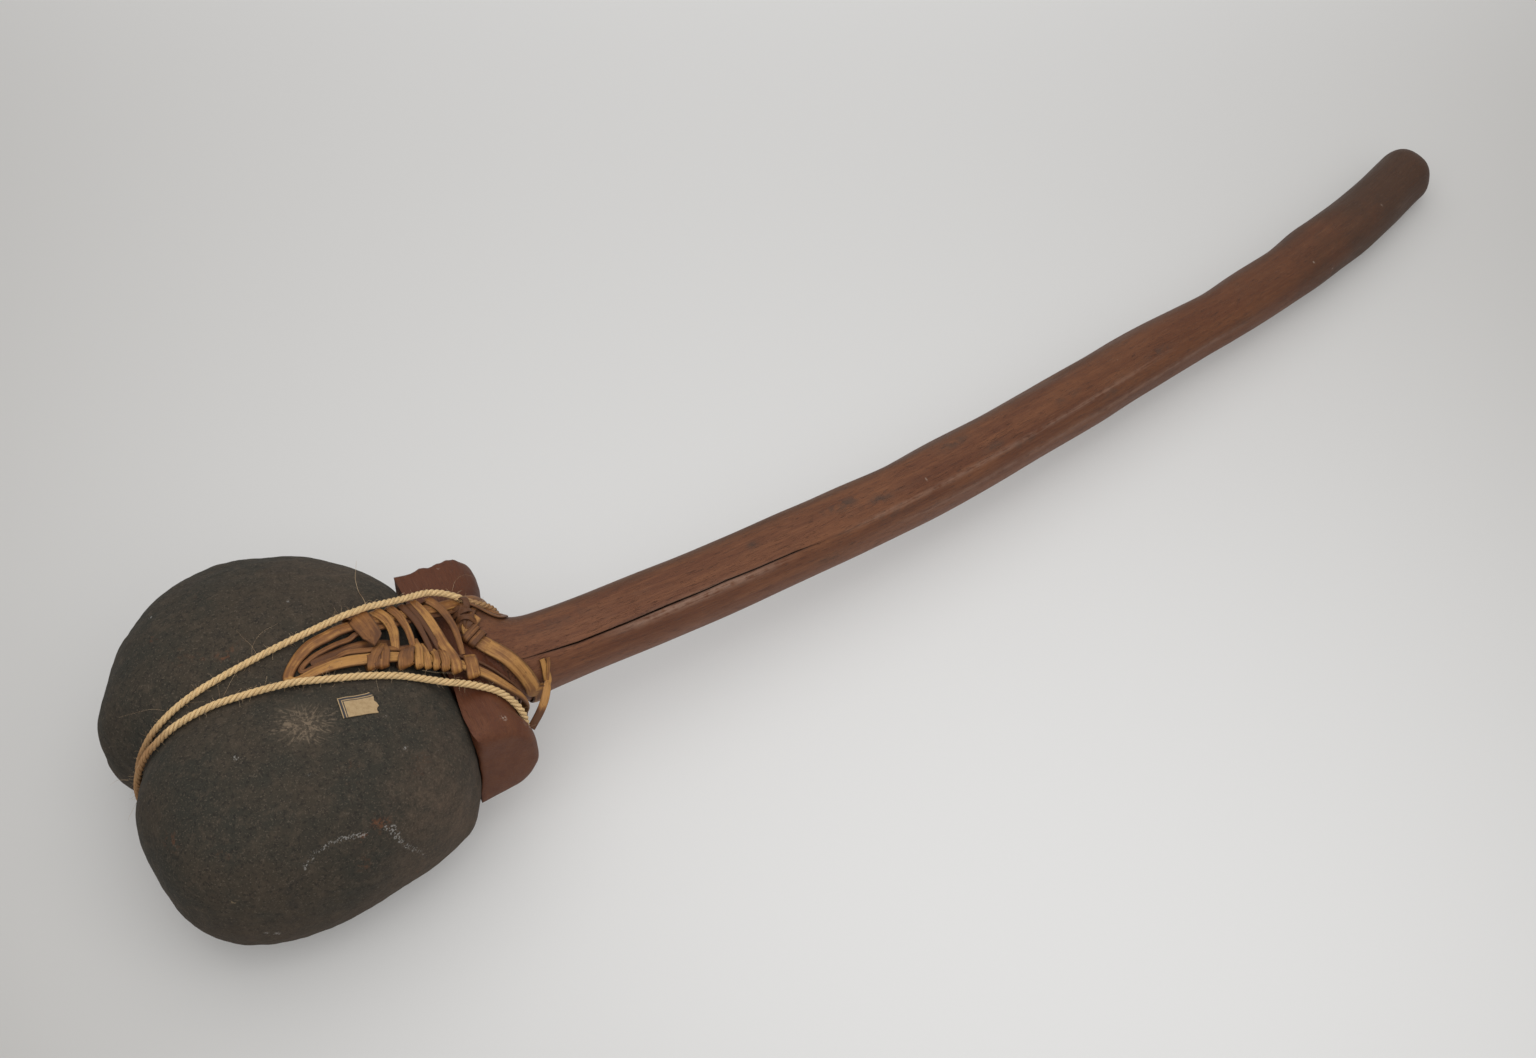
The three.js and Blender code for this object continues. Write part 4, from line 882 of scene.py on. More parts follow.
def stored(shape, name, value):
    sockets = {"Geometry": shape, "Name": name, "Value": value}
    return shape.node("GeometryNodeStoreNamedAttribute", {"data_type": "FLOAT", "domain": "POINT"}, sockets)


def found(pen, name, kind="FLOAT"):
    return pen.node("GeometryNodeInputNamedAttribute", {"data_type": kind}, {"Name": name})


def scaled(vector, factor):
    return vector.node("ShaderNodeVectorMath", {"operation": "SCALE"}, {0: vector, 3: factor})


def summed(first, second):
    return first.node("ShaderNodeVectorMath", {"operation": "ADD"}, {0: first, 1: second})


def kept_sign(value, exponent):
    return value.math("SIGN", value) * (value.math("ABSOLUTE", value) ** exponent)


# Each strip is a flat-bottomed, round-edged section swept along its path, with grooves lengthwise
pen, given = new_tree("cane strip", [
    ("Sides", "NodeSocketInt"), ("Squareness", "NodeSocketFloat"), ("Grooving", "NodeSocketFloat"),
    ("Finish", "NodeSocketMaterial")])
cane_tree = pen.tree
ring = pen.node("GeometryNodeCurvePrimitiveCircle", {}, {0: given["Sides"], 4: 1.0})
spot = pen.node("GeometryNodeInputPosition")
ring = stored(ring, "across", kept_sign(part_of(spot, 0), given["Squareness"]))
ring = stored(ring, "rise", kept_sign(part_of(spot, 1), given["Squareness"]))
line = pen.node("GeometryNodeMeshToCurve", {}, {"Mesh": given["Geometry"]})
swept = pen.node("GeometryNodeCurveToMesh", {}, {"Curve": line, "Profile Curve": ring, "Fill Caps": True})
over, rise = found(pen, "across"), found(pen, "rise")
lane = vector_of(pen, found(pen, "along") * 0.035, over * 2.4, found(pen, "number"))
furrow = (cloud(lane, 1.0, 3, 0.6) - 0.5) * given["Grooving"] * rise_between(rise, -0.2, 0.5)
wide = scaled(found(pen, "sideways", "FLOAT_VECTOR"), over * found(pen, "half_width"))
crown = 1 - over * over * 0.35
high = scaled(found(pen, "outward", "FLOAT_VECTOR"), rise * found(pen, "half_thickness") * crown + furrow)
spot = summed(summed(found(pen, "middle", "FLOAT_VECTOR"), wide), high)
end_tree(pen.node("GeometryNodeSetPosition", {}, {"Geometry": swept, "Position": spot}), given["Finish"])

cane_finish, pen, sockets = new_finish("aged split cane")
tone, along, over = kept_mark(pen, "tone"), kept_mark(pen, "along"), kept_mark(pen, "across")
number, rise = kept_mark(pen, "number"), kept_mark(pen, "rise")
place = place_of(pen)
streak = cloud(vector_of(pen, along * 0.045, over * 2.6, number), 1.0, 4, 0.6)
thread = cloud(vector_of(pen, along * 0.12, over * 9, number + 3.7), 1.0, 2, 0.6)
grime = cloud(place, 120, 4, 0.65)
shade = rise_between(tone + (streak - 0.5) * 1.1 + (grime - 0.5) * 0.7, 0.06, 1.06)
colour = layered(
    (0.11, 0.044, 0.018),
    ("brown", (0.24, 0.102, 0.033), rise_between(shade, 0.0, 0.55)),
    ("straw", (0.46, 0.23, 0.068), rise_between(shade, 0.5, 1.0)),
    ("threads", (0.1, 0.039, 0.016), rise_between(thread, 0.56, 0.74) * 0.6),
    # Painted shade: darker along both edges of every strip and on its underside
    ("edges", (0.05, 0.021, 0.011), rise_between(pen.math("ABSOLUTE", over), 0.8, 1.0) * 0.7),
    ("painted underside shade", (0.05, 0.024, 0.014), rise_between(rise, 0.2, -0.5) * 0.7),
    ("specks", (0.075, 0.032, 0.015), rise_between(cloud(place, 330, 3, 0.7), 0.6, 0.74) * 0.6))
finished(sockets, colour, 0.5 + (grime - 0.5) * 0.4, 0.25)
embossed(streak * 0.8 + thread * 0.5, 0.6, 0.0004, sockets)

far_leg, near_leg = sling_leg(far_line), sling_leg(near_line)
cane_values = {"Sides": 18, "Squareness": 0.62, "Grooving": 0.00045, "Finish": cane_finish}
outer_bight = [
    (35, 4.9), (24, 3.4), (16, -0.4), (9.6, -6), (5.2, -11.4), (3.8, -15), (5.4, -17.4), (9, -18), (13, -17.2),
    (18, -16.5), (25, -16.8)]
outer_hoop = sling_hoop(far_leg, near_leg, 0, CANE_WIDTH, CANE_THICKNESS, outer_bight)
uneven = waver(np.arange(SLING_STATIONS) / 33, 8.2)
slim_turn = 1 - 0.18 * (1 - ease(outer_hoop[:, 0], 2, 22))
outer_tone = 0.6 + 0.25 * uneven + 0.2 * (outer_hoop[:, 1] < -13)
outer_cane = made_of_strips("sling_outer_split_cane", [
    strip(outer_hoop, CANE_WIDTH * (1.0 + 0.12 * uneven) * slim_turn, CANE_THICKNESS * 1.15, outer_tone, True),
], cane_values, "cane", "sling_outer_cane")

inner_bight = [
    (44, -1.8), (32, -2.7), (20, -5.4), (13.2, -9.4), (11.6, -11.6), (13.6, -13.0), (22, -12.2), (33, -12.4)]
inner_legs = moved_aside(far_leg, far_line, -INNER_INSET), moved_aside(near_leg, near_line, INNER_INSET)
inner_hoop = sling_hoop(*inner_legs, INNER_INSET, INNER_WIDTH, INNER_THICKNESS, inner_bight)
# Past x = 66 the inner strip narrows, and its tone falls as painted shade where it runs beside the outer cane
slim_shaded_end = 1 - 0.6 * ease(inner_hoop[:, 0], 66, 90)
flat_run = np.array([(x, -8 - 0.03 * (x - 20), stone_height(x, -8.5) + 1.3 + 2.6 * ease(x, 32, 50), 0, 0, 1)
                     for x in np.linspace(19, 66, FLAT_STATIONS)])
inner_cane = made_of_strips("sling_inner_strips", [
    strip(inner_hoop, INNER_WIDTH * 0.85 * slim_shaded_end, INNER_THICKNESS, 0.4 * slim_shaded_end + 0.2 * uneven, True),
    strip(flat_run, 9.5 * ease(np.linspace(0, 1, FLAT_STATIONS), -0.3, 0.45), 1.2, 0.3),
], cane_values, "cane", "sling_inner_cane")

# ---------------------------------------------------------------------------------------------
# Sling band: one broad, dark strip of bark drawn round both legs next to the bight and tucked
# under itself, its free end cut to a point.
LASH_THICKNESS = 1.5
# How far out and down a turn goes round a leg's outside, to end under it
FAR_WRAP = ((-3.5, 4.6), (0.2, 4.5), (1.5, 2.9), (1.35, 1.1))
NEAR_WRAP = ((-1.9, 0.9), (-2.5, 3.1), (-0.9, 5.0), (3.5, 5.2))


def leg_top(leg, x):
    top = leg[leg[:, 5] > 0.02]
    top = top[np.argsort(top[:, 0])]
    return np.stack([np.interp(x, top[:, 0], top[:, k]) for k in range(3)], axis=-1)


def lash_height(x, y):
    """Height of the lashing's bed, which spans from the middle of one leg to that of the other."""
    far, near = leg_top(far_leg, x), leg_top(near_leg, x)
    share = np.clip((y - near[..., 1]) / (far[..., 1] - near[..., 1]), 0, 1)
    return blend(near[..., 2], far[..., 2], share) + CANE_THICKNESS / 2


def strip_path(rows, count):
    """A smooth path through places, each with its outward way."""
    path = smooth_path(rows, count)
    path[:, 3:] = unit(path[:, 3:])
    return path


def lash_turn(stations, far_wrap=None, near_wrap=None, count=46):
    """A strip over the legs: x, y and lift over the bed, then round the outside of a leg and under it."""
    half = LASH_THICKNESS / 2

    def wrap(x, edge, section, tuck):
        bed = lash_height(x, edge)
        return [(x, edge + aside, bed - drop + half, 0, aside if drop < 4 else tuck, 1.4 - drop * 0.7)
                for aside, drop in section]

    rows = []
    if far_wrap is not None:
        rows += wrap(far_wrap, far_line(far_wrap) + CANE_WIDTH / 2, FAR_WRAP, 0.3)
    for x, y, lift in stations:
        tip = 0.12 * (y - (far_line(x) + near_line(x)) / 2) / 15
        rows.append((x, y, lash_height(x, y) + half + 0.15 + lift, 0, tip, 1))
    if near_wrap is not None:
        rows += wrap(near_wrap, near_line(near_wrap) - CANE_WIDTH / 2, NEAR_WRAP, -0.3)
    return strip_path(rows, count)


lash_values = dict(cane_values, Sides=14, Grooving=0.00035)
band_path = lash_turn([
    (52.4, 10, 0.3), (53.4, 5, 0.8), (54.4, -2, 1.1), (54.6, -8, 1.3), (53.0, -15.5, 1.6)], far_wrap=50.8)
band_share = np.linspace(0, 1, len(band_path))
band_point = 1 - 0.97 * np.clip((band_share - 0.78) / 0.22, 0, 1)
band_width = 12.5 * (1 - 0.15 * ease(band_share, 0.4, 0.8)) * band_point
tucked = lash_turn([(50.4, -20, 0.0), (49.6, -23.2, 0.0)], near_wrap=48.5, count=26)
sling_band = made_of_strips("sling_band_strip", [
    strip(band_path, band_width, LASH_THICKNESS, 0.54 - 0.2 * ease(band_share, 0.5, 1.0)),
    strip(tucked, 7.5, 1.3, 0.4),
], lash_values, "cane", "sling_band")

# ---------------------------------------------------------------------------------------------
# Frapping: narrow strips laid across from the far leg, dived between the legs and wrapped round
# the near one, so that they draw both legs together. No two are quite alike in width or colour.
frapping = []
for stations, far_wrap, near_wrap, width_in, width_out, tone in (
    ([(58.5, -10.5, -3.5), (53.5, -18.2, 0.5), (49.5, -22.6, 0.4)], None, 47.0, 5.0, 6.0, 0.62),
    ([(58.5, -11, -3.5), (57.0, -19.4, 0.4), (55.2, -23.5, 0.3)], None, 53.2, 5.2, 6.4, 0.56),
    ([(63.8, 11.2, 0.1), (67.0, 4.6, 1.2), (67.2, -4.6, 1.5), (65.2, -12.5, 0.9), (63.4, -17.8, -2.6)],
     62.4, None, 8.0, 4.6, 0.76),
    ([(71.5, -14.2, -3.2), (69.6, -19.4, 0.5), (66.8, -23.8, 0.5)], None, 64.8, 7.4, 9.4, 0.5),
    ([(71.9, 13.4, 0.1), (74.7, 6.4, 0.9), (75.4, -3.6, 0.9), (74.6, -11.8, -0.6), (73.4, -17.5, -3.6)],
     70.4, None, 6.0, 3.2, 0.58),
    ([(76.5, -9.6, -2.8), (75.4, -19.3, 0.7), (73.4, -25.2, 0.6)], None, 71.8, 4.2, 5.2, 0.8),
    ([(78.4, -13.6, -2.8), (78.0, -22.3, 0.7), (77.2, -26.4, 0.6)], None, 76.2, 3.6, 4.8, 0.78),
    ([(79.2, 14.2, 0.1), (82.2, 2.4, 0.5), (82.4, -9.4, 0.4), (82.0, -19.6, -1.6), (81.8, -22, -4.2)],
     78.0, None, 4.4, 2.8, 0.2),
    ([(83.4, 14.0, 0.1), (85.7, 1.0, 0.8), (86.6, -11.0, 0.2), (87.4, -18.5, -2.6)], 82.4, None, 4.0, 2.6, 0.14),
    ([(83.0, -18.5, -2.4), (82.8, -24.3, 0.6), (82.0, -28, 0.5)], None, 80.6, 3.6, 4.6, 0.66),
    ([(88.0, -17.4, -2.8), (87.2, -25, 0.7), (86.4, -29.8, 0.6)], None, 85.2, 4.4, 5.4, 0.7),
    ([(86.0, 16.4, 0.1), (89.0, 6.6, 1.0), (90.2, -7.6, 0.7), (90.4, -17.5, 0.7), (91.4, -26, 0.9),
      (91.4, -31.4, 0.7)], 84.8, 90.6, 5.4, 6.6, 0.68),
    ([(95.0, 17.2, 0.2), (99.4, 8.6, 1.6), (101.1, -4.4, 1.4), (99.8, -16, -0.6), (98.8, -21.5, -3.8)],
     93.8, None, 5.8, 3.0, 0.52),
    ([(101.6, -23.5, -2.8), (100.6, -28.6, 0.7), (99.6, -33.6, 0.7)], None, 98.4, 7.0, 7.8, 0.6),
):
    path = lash_turn(stations, far_wrap, near_wrap)
    jitter = waver(np.arange(len(path)) / 11, width_in * 5, tone * 9)
    width = blend(width_in, width_out, np.linspace(0, 1, len(path))) * (1 + 0.14 * jitter)
    frapping.append(strip(path, width, LASH_THICKNESS, tone + 0.18 * jitter, False, 0.16 * jitter))
# Short lengths of the same strip under the turns, along the far leg, given low tones as painted shade
for x0, x1, y, tone in ((56, 74, 4.5, 0.3), (68, 92, 6.5, 0.22), (84, 108, 8.0, 0.42), (60, 82, -16.5, 0.2)):
    run = np.array([(x, y + 0.1 * (x - x0), lash_height(x, y) - 1.9, 0, 0, 1) for x in np.linspace(x0, x1, 24)])
    frapping.append(strip(run, 4.2, 1.3, tone))
frapping_piece = made_of_strips("frapping_turns", frapping, lash_values, "cane", "frapping_strip")

# ---------------------------------------------------------------------------------------------
# Neck strap: a wide split strip from the lashing's end, over the crossbar and down both crooks
# round the neck of the handle. It has a square-cut end on the near side and thin strips on the far one.
STRAP_WIDTH, STRAP_THICKNESS, STRAP_STATIONS = 9, 1.8, 240
STRAP_STAND_OFF, CROOK_X = 1.5, 136.3
strap_top = plan_line([
    (-39, 134.5), (-34.7, 130), (-25.5, 122.6), (-14.5, 112.8), (-6, 109.5), (0, 114), (4, 126), (8, 133),
    (13, CROOK_X)])
strap_line = lambda y, z: np.where(z >= BAR_MIDDLE, strap_top(y), CROOK_X)
by_strap = np.abs(haft_skin[:, 0] - strap_line(haft_skin[:, 1], haft_skin[:, 2])) <= STRAP_WIDTH / 2
by_strap = haft_skin[by_strap & (haft_skin[:, 1] < 20)]
flat, ways = taut_hoop(by_strap[:, 1:], lambda u, up: STRAP_STAND_OFF + 0 * u)
strap_hoop = np.column_stack((strap_line(flat[:, 0], flat[:, 1]), flat, 0 * ways[:, 0], ways))
strap_hoop = soothed(evenly(np.roll(strap_hoop, TAUT_STATIONS // 4, axis=0), STRAP_STATIONS, True), 4)
hoop_turn = np.degrees(np.arctan2(strap_hoop[:, 5], strap_hoop[:, 4]))
around_neck = np.argsort(hoop_turn % 360)
strap_run = strap_hoop[around_neck[(hoop_turn % 360)[around_neck] > 82]]
wood_tree = BVHTree.FromPolygons(haft_skin.tolist(), [tuple(face.vertices) for face in haft_mesh.polygons])


def wood_height(x, y):
    return wood_tree.ray_cast((x, y, 300), (0, 0, -1))[0][2]


far_strips = []
for stops, width, tone in (
    ([(111, 16, 4), (116, 15.5, 3.2), (120.5, 14.2, 1.8), (124.5, 11.2, 1.1), (128, 7.8, 1.1), (131, 5.6, 1.1),
      (134, 6.4, 1.1)], 4.2, 0.5),
    ([(111, 11, 4), (115.5, 9.6, 3.4), (120, 7, 1.8), (124, 4, 1.1), (127.5, 1.8, 1.1), (131, 1.4, 1.1),
      (134.5, 4, 1.1)], 3.6, 0.42),
):
    rows = [(x, y, wood_height(x, y) + lift, 0.3, 0.4, 0.85) for x, y, lift in stops]
    far_strips.append(strip(smooth_path(rows, 60), width, 1.3, tone))
near_part = strap_hoop[(hoop_turn > 118) | (hoop_turn < -170)]
near_part = near_part[np.argsort(-near_part[:, 2])]
over_end = near_part.copy()
over_end[:, :3] += over_end[:, 3:6] * 1.7
over_end[:, 0] -= 0.6
strap_tone = 0.72 + 0.2 * waver(np.arange(len(strap_run)) / 14, 2.2, 5)
end_tone = 0.8 - 0.3 * ease(np.linspace(0, 1, len(over_end)), 0.75, 1.0)
made_of_strips("neck_strap_strip", [
    strip(strap_run, STRAP_WIDTH * 0.98, STRAP_THICKNESS, strap_tone),
    strip(over_end, STRAP_WIDTH * 0.94, 1.5, end_tone), *far_strips,
], dict(cane_values, Grooving=0.0006), "cane", "neck_strap")

# ---------------------------------------------------------------------------------------------
# Neck knot: the strap's and the frapping's ends plaited over one another on top of the crossbar,
# and drawn tight by a collar of strip round the strap.
PLAIT_STATIONS, RING_STATIONS = 30, 44
KNOT_X, KNOT_Y, CREST_Y = 112, 4, -10.5
plait = []
for stops, arch, width, tone in (
    ([(103.5, 11), (107.5, 7), (111.5, 2), (115, -4.5)], 3.6, 4.0, 0.46),
    ([(116, 11.5), (112.5, 8), (108.5, 2.5), (105, -3)], 4.8, 4.2, 0.58),
    ([(102.5, 6.5), (107.5, 5), (112.5, 4), (117, 4.5)], 5.4, 3.8, 0.4),
    ([(109, 13), (109.5, 8), (110, 1), (108.5, -6)], 4.2, 3.8, 0.5),
    ([(117.5, 7), (114.5, 2.5), (111.5, -2.5), (107.5, -7)], 3.4, 4.0, 0.62),
    ([(104, 1.5), (107, 1), (111.5, -1), (115.5, -3.5)], 5.6, 3.4, 0.54),
    ([(111, 18.5), (113.5, 14.5), (114.5, 9), (111.5, 3)], 6.0, 3.8, 0.4),
    ([(103, 9.5), (106, 9), (110, 9.5), (114, 11.5)], 4.6, 3.6, 0.48),
):
    rows = [(x, y, wood_height(x, y) + lift, 0.04 * (x - KNOT_X), 0.04 * (y - KNOT_Y), 1)
            for (x, y), lift in zip(stops, (0.6, arch, arch + 0.3, 0.8))]
    plait_tone = tone - 0.33 + 0.1 * np.sin(np.linspace(0, 9, PLAIT_STATIONS))
    plait.append(strip(strip_path(rows, PLAIT_STATIONS), width, 1.4, plait_tone, False, 0.1))
crest_at = np.argmin(np.abs(strap_hoop[:, 1] - CREST_Y) - strap_hoop[:, 2] * 0.01)
crest, crest_out = strap_hoop[crest_at, :3], strap_hoop[crest_at, 3:6]
ahead = unit(strap_hoop[(crest_at + 2) % STRAP_STATIONS, :3] - crest)
sideways = np.cross(crest_out, ahead)
bend = np.linspace(0, 2 * math.pi, RING_STATIONS, endpoint=False)
for shift, tone in ((-3.0, 0.36), (1.6, 0.28)):
    ring_out = np.outer(np.cos(bend) * 0.6, sideways) + np.outer(np.sin(bend), crest_out)
    ring_path = (crest + ahead * shift + crest_out * 0.9
                 + np.outer(signed_power(np.cos(bend), 0.6) * 5.3, sideways)
                 + np.outer(signed_power(np.sin(bend), 0.7) * 2.3, crest_out))
    plait.append(strip(np.column_stack((ring_path, unit(ring_out))), 4.4, 1.3, tone, True))
made_of_strips("neck_knot_plait", plait, lash_values, "cane", "neck_knot")

# ---------------------------------------------------------------------------------------------
# Loose tail: the last end of a strip, which leaves the handle's near side, bows out of the crook
# and tucks in behind the crossbar. Its upper end has split in two.
TAIL_ALONG, TAIL_STATIONS, FRAY_STATIONS = 41, 70, 26
tail_out = lambda bend: np.array((0, -math.sin(bend), math.cos(bend)))
tail_root, tail_stand_off = handle_middle(np.array(TAIL_ALONG)), handle_radius(np.array(TAIL_ALONG)) + 1.7
tail_rows = [(*(tail_root + tail_out(bend) * tail_stand_off), *tail_out(bend)) for bend in (0.82, 1.1, 1.38)]
tail_rows += [
    (139.6, -38.2, 67.2, 0, -0.9, 0.5), (135.4, -43.7, 64, -0.2, -0.8, 0.6), (130.3, -47.8, 60, -0.3, -0.7, 0.7),
    (122.6, -52.4, 55.4, -0.4, -0.6, 0.7)]
tail_path = strip_path(tail_rows, TAIL_STATIONS)
tail_share, fray_share = np.linspace(0, 1, TAIL_STATIONS), np.linspace(0, 1, FRAY_STATIONS)
tail_width = 5.2 * (1 - 0.4 * ease(tail_share, 0.3, 0.0)) * (1 - 0.15 * tail_share)
frayed = tail_path[:FRAY_STATIONS].copy()
frayed[:, 0] += 3.0 * (1 - ease(fray_share, 0, 0.8))
frayed[:, :3] += frayed[:, 3:6] * (1.4 * (1 - fray_share))[:, None]
made_of_strips("loose_tail_strip", [
    strip(tail_path, tail_width, 1.3, 0.92 - 0.9 * ease(tail_share, 0.62, 0.8)),
    strip(frayed, 2.2, 1.0, 0.6),
], lash_values, "cane", "loose_tail")

# ---------------------------------------------------------------------------------------------
# Binding cord: three-strand plant-fibre cord, two turns pulled tight over the whole head and tied
# low on the outer side. It is hairy, straw-coloured, and browner on the outer side, on the crossbar and low down.
CORD_RADIUS, CORD_PITCH = 2.08, 10
CORD_STATIONS, KNOT_STATIONS, KNOT_SIZE, KNOT_HEIGHT = 560, 150, 3.6, 25
underneath = [stone_skin, bar_skin] + [
    (vectors_of(piece.data.vertices) - foot) * 1000
    for piece in (outer_cane, inner_cane, sling_band, frapping_piece)]
cord_turns = []
for top, under, radius in (
    ([(-95, 0.9), (-40, 4.6), (3, 8.6), (33, 9.8), (53, 10.6), (73, 14.2), (85, 17), (93, 19.2), (99.5, 19.8),
      (106, 18.8), (112, 16), (117, 12.6), (120, 11.2), (124, 10.8), (135, 10.8)],
     [(-95, 0.9), (0, 3.2), (50, 9), (100, 15), (118, 11.2), (135, 10.8)], 0.9 * CORD_RADIUS),
    ([(-95, -4.7), (-49, -8), (-16, -14), (20, -24.4), (60, -35), (82, -40.6), (92, -42.3), (102, -45.6),
      (107.2, -48.2), (112, -51.8), (115.5, -55.2), (118, -57.6), (124, -58.5), (135, -58.5)],
     [(-95, -4.7), (0, -2.6), (50, -12), (90, -38), (109, -50.5), (118, -57.2), (135, -58.5)], CORD_RADIUS),
):
    hoop = upright_hoop(underneath, plan_line(top), plan_line(under), radius, lambda u, up: radius + 0.1 + 0 * u)
    cord_turns.append(soothed(evenly(hoop, CORD_STATIONS, True), 8))
far_turn, near_turn = cord_turns
outer_side = far_turn[far_turn[:, 0] < 0]
tied = outer_side[np.argmin(np.abs(outer_side[:, 2] - KNOT_HEIGHT))]
near_tied = near_turn[np.argmin(np.linalg.norm(near_turn[:, :3] - tied[:3], axis=1))]
knot_out = unit(tied[3:6])
knot_side = np.cross((0, 1, 0), knot_out)
knot_heart = (tied[:3] + near_tied[:3]) / 2 + knot_out * 4.2
knot_turn = np.linspace(0, 2 * math.pi, KNOT_STATIONS, endpoint=False)
swing = KNOT_SIZE * (2 + np.cos(3 * knot_turn)) * 0.5
knot_path = (knot_heart[None] + np.outer(swing * np.cos(2 * knot_turn), (0, 1, 0))
             + np.outer(swing * np.sin(2 * knot_turn), knot_side)
             + np.outer(KNOT_SIZE * np.sin(3 * knot_turn) * 0.5, knot_out))
cord_knot = np.column_stack((knot_path, np.tile(knot_out, (KNOT_STATIONS, 1))))
cord_strips, laps = [], []
for loop, thick in ((far_turn, 0.9), (near_turn, 1.0), (cord_knot, 1.0)):
    # Browner on the stone's outer side, where it runs over the crossbar, and a little low down
    outer_end, low_down = 1 - ease(loop[:, 0], -80, -46), 1 - ease(loop[:, 2], 30, 80)
    at_bar = ease(loop[:, 0], 110, 117) * (loop[:, 1] > 0)
    paleness = 1 - 0.75 * outer_end - 0.7 * at_bar - 0.2 * low_down
    # The tree takes a strip's half width as a share of the cord's thickness
    cord_strips.append(strip(loop, 2000 * thick, 1, paleness, True))
    size = np.linalg.norm(np.diff(np.vstack((loop, loop[:1]))[:, :3], axis=0), axis=1).sum()
    laps.append(np.full(len(loop), float(round(size / CORD_PITCH))))
cord_path = strip_paths("cord path", cord_strips)
mark(cord_path, "laps", np.concatenate(laps))

# Three strands wind round each other along the path, a whole number of times in each turn
pen, given = new_tree("laid cord", [
    ("Strand", "NodeSocketFloat"), ("Offset", "NodeSocketFloat"), ("Sides", "NodeSocketInt"),
    ("Finish", "NodeSocketMaterial")])
cord_tree = pen.tree
line = pen.node("GeometryNodeMeshToCurve", {}, {"Mesh": given["Geometry"]})
strands = pen.node("GeometryNodeDuplicateElements", {"domain": "SPLINE"}, {"Geometry": line, "Amount": 3})
which = strands.other("Duplicate Index")
share = pen.node("GeometryNodeSplineParameter", {}, {}, 0)
bend = (share * found(pen, "laps") + which / 3.0) * (2 * math.pi)
thick = found(pen, "half_width")
offset = summed(scaled(found(pen, "outward", "FLOAT_VECTOR"), pen.math("COSINE", bend) * given["Offset"] * thick),
                scaled(found(pen, "sideways", "FLOAT_VECTOR"), pen.math("SINE", bend) * given["Offset"] * thick))
wound = pen.node("GeometryNodeSetPosition", {}, {"Geometry": strands, "Offset": offset})
wound = pen.node("GeometryNodeSetCurveRadius", {}, {"Curve": wound, "Radius": thick})
ring = pen.node("GeometryNodeCurvePrimitiveCircle", {}, {0: given["Sides"], 4: given["Strand"]})
ring = stored(ring, "around", pen.node("GeometryNodeSplineParameter", {}, {}, 0))
wound = stored(wound, "number", which * 3.3)
laid = pen.node("GeometryNodeCurveToMesh", {}, {"Curve": wound, "Profile Curve": ring})
# Each point's distance from the cord's middle, kept for the painted shade between the strands
from_heart = pen.node("ShaderNodeVectorMath", {"operation": "DISTANCE"}, {
    0: pen.node("GeometryNodeInputPosition"), 1: found(pen, "middle", "FLOAT_VECTOR")}, 1)
end_tree(stored(laid, "swell", from_heart / thick * 1000.0), given["Finish"])

cord_finish, pen, sockets = new_finish("laid plant fibre")
tone, along, around, number = (kept_mark(pen, name) for name in ("tone", "along", "around", "number"))
fibre = cloud(vector_of(pen, along * 0.09, around * 26 + along * 1.4, number), 1.0, 3, 0.6)
shade = rise_between(tone + (cloud(place_of(pen), 85, 4, 0.6) - 0.5) * 0.55, 0.1, 0.95)
colour = layered(
    (0.36, 0.19, 0.085),
    ("straw", (0.82, 0.57, 0.285), shade),
    ("pale fibre", (0.86, 0.66, 0.38), rise_between(fibre, 0.54, 0.74) * shade * 0.7),
    ("dark fibre", (0.4, 0.24, 0.105), rise_between(fibre, 0.47, 0.3) * 0.6),
    # Painted shade in the grooves between the strands
    ("painted shade between strands", (0.3, 0.165, 0.07), rise_between(kept_mark(pen, "swell"), 1.8, 1.25) * 0.7))
finished(sockets, colour, 0.8 + (fibre - 0.5) * 0.3, 0.2)
embossed(fibre, 0.8, 0.0005, sockets)
binding_cord = shaped("binding_cord_strands", cord_tree, cord_path,
                      {"Strand": 0.00102, "Offset": 0.00106, "Sides": 10, "Finish": cord_finish})
settled(binding_cord, "cord", "binding_cord")

# Broken fibres stand out of the cord all along it, short ones everywhere and a few long ones
pen, given = new_tree("cord hairs", [
    ("Density", "NodeSocketFloat"), ("Length", "NodeSocketFloat"), ("Thickness", "NodeSocketFloat"),
    ("Seed", "NodeSocketInt"), ("Finish", "NodeSocketMaterial")])
hair_tree = pen.tree
roots = pen.node("GeometryNodeDistributePointsOnFaces", {}, {
    "Mesh": given["Geometry"], 4: given["Density"], 6: given["Seed"]})
toss = lambda low, high, seed: pen.node(
    "FunctionNodeRandomValue", {"data_type": "FLOAT"}, {2: low, 3: high, 8: seed}, 1)
tilt = vector_of(pen, toss(-1.25, 1.25, 3), toss(-1.25, 1.25, 4), toss(0.0, 6.28, 5))
lean = pen.node("FunctionNodeRotateRotation", {"rotation_space": "LOCAL"}, {
    0: roots.other("Rotation"), 1: pen.node("FunctionNodeEulerToRotation", {}, {0: tilt})})
hair = pen.node("GeometryNodeCurvePrimitiveBezierSegment", {"mode": "POSITION"}, {
    "Resolution": 6, "Start": (0, 0, -0.0002), "Start Handle": (0, 0, 0.3), "End Handle": (0.25, 0, 0.7),
    "End": (0.55, 0.1, 0.85)})
length = given["Length"]
size = vector_of(pen, length * toss(0.3, 1.3, 7), length, length * toss(0.25, 1.4, 8))
grown = pen.node("GeometryNodeInstanceOnPoints", {}, {
    "Points": roots, "Instance": hair, "Rotation": lean, "Scale": size})
loose = pen.node("GeometryNodeRealizeInstances", {}, {"Geometry": grown})
ring = pen.node("GeometryNodeCurvePrimitiveCircle", {}, {0: 3, 4: given["Thickness"]})
fibres = pen.node("GeometryNodeCurveToMesh", {}, {"Curve": loose, "Profile Curve": ring, "Fill Caps": True})
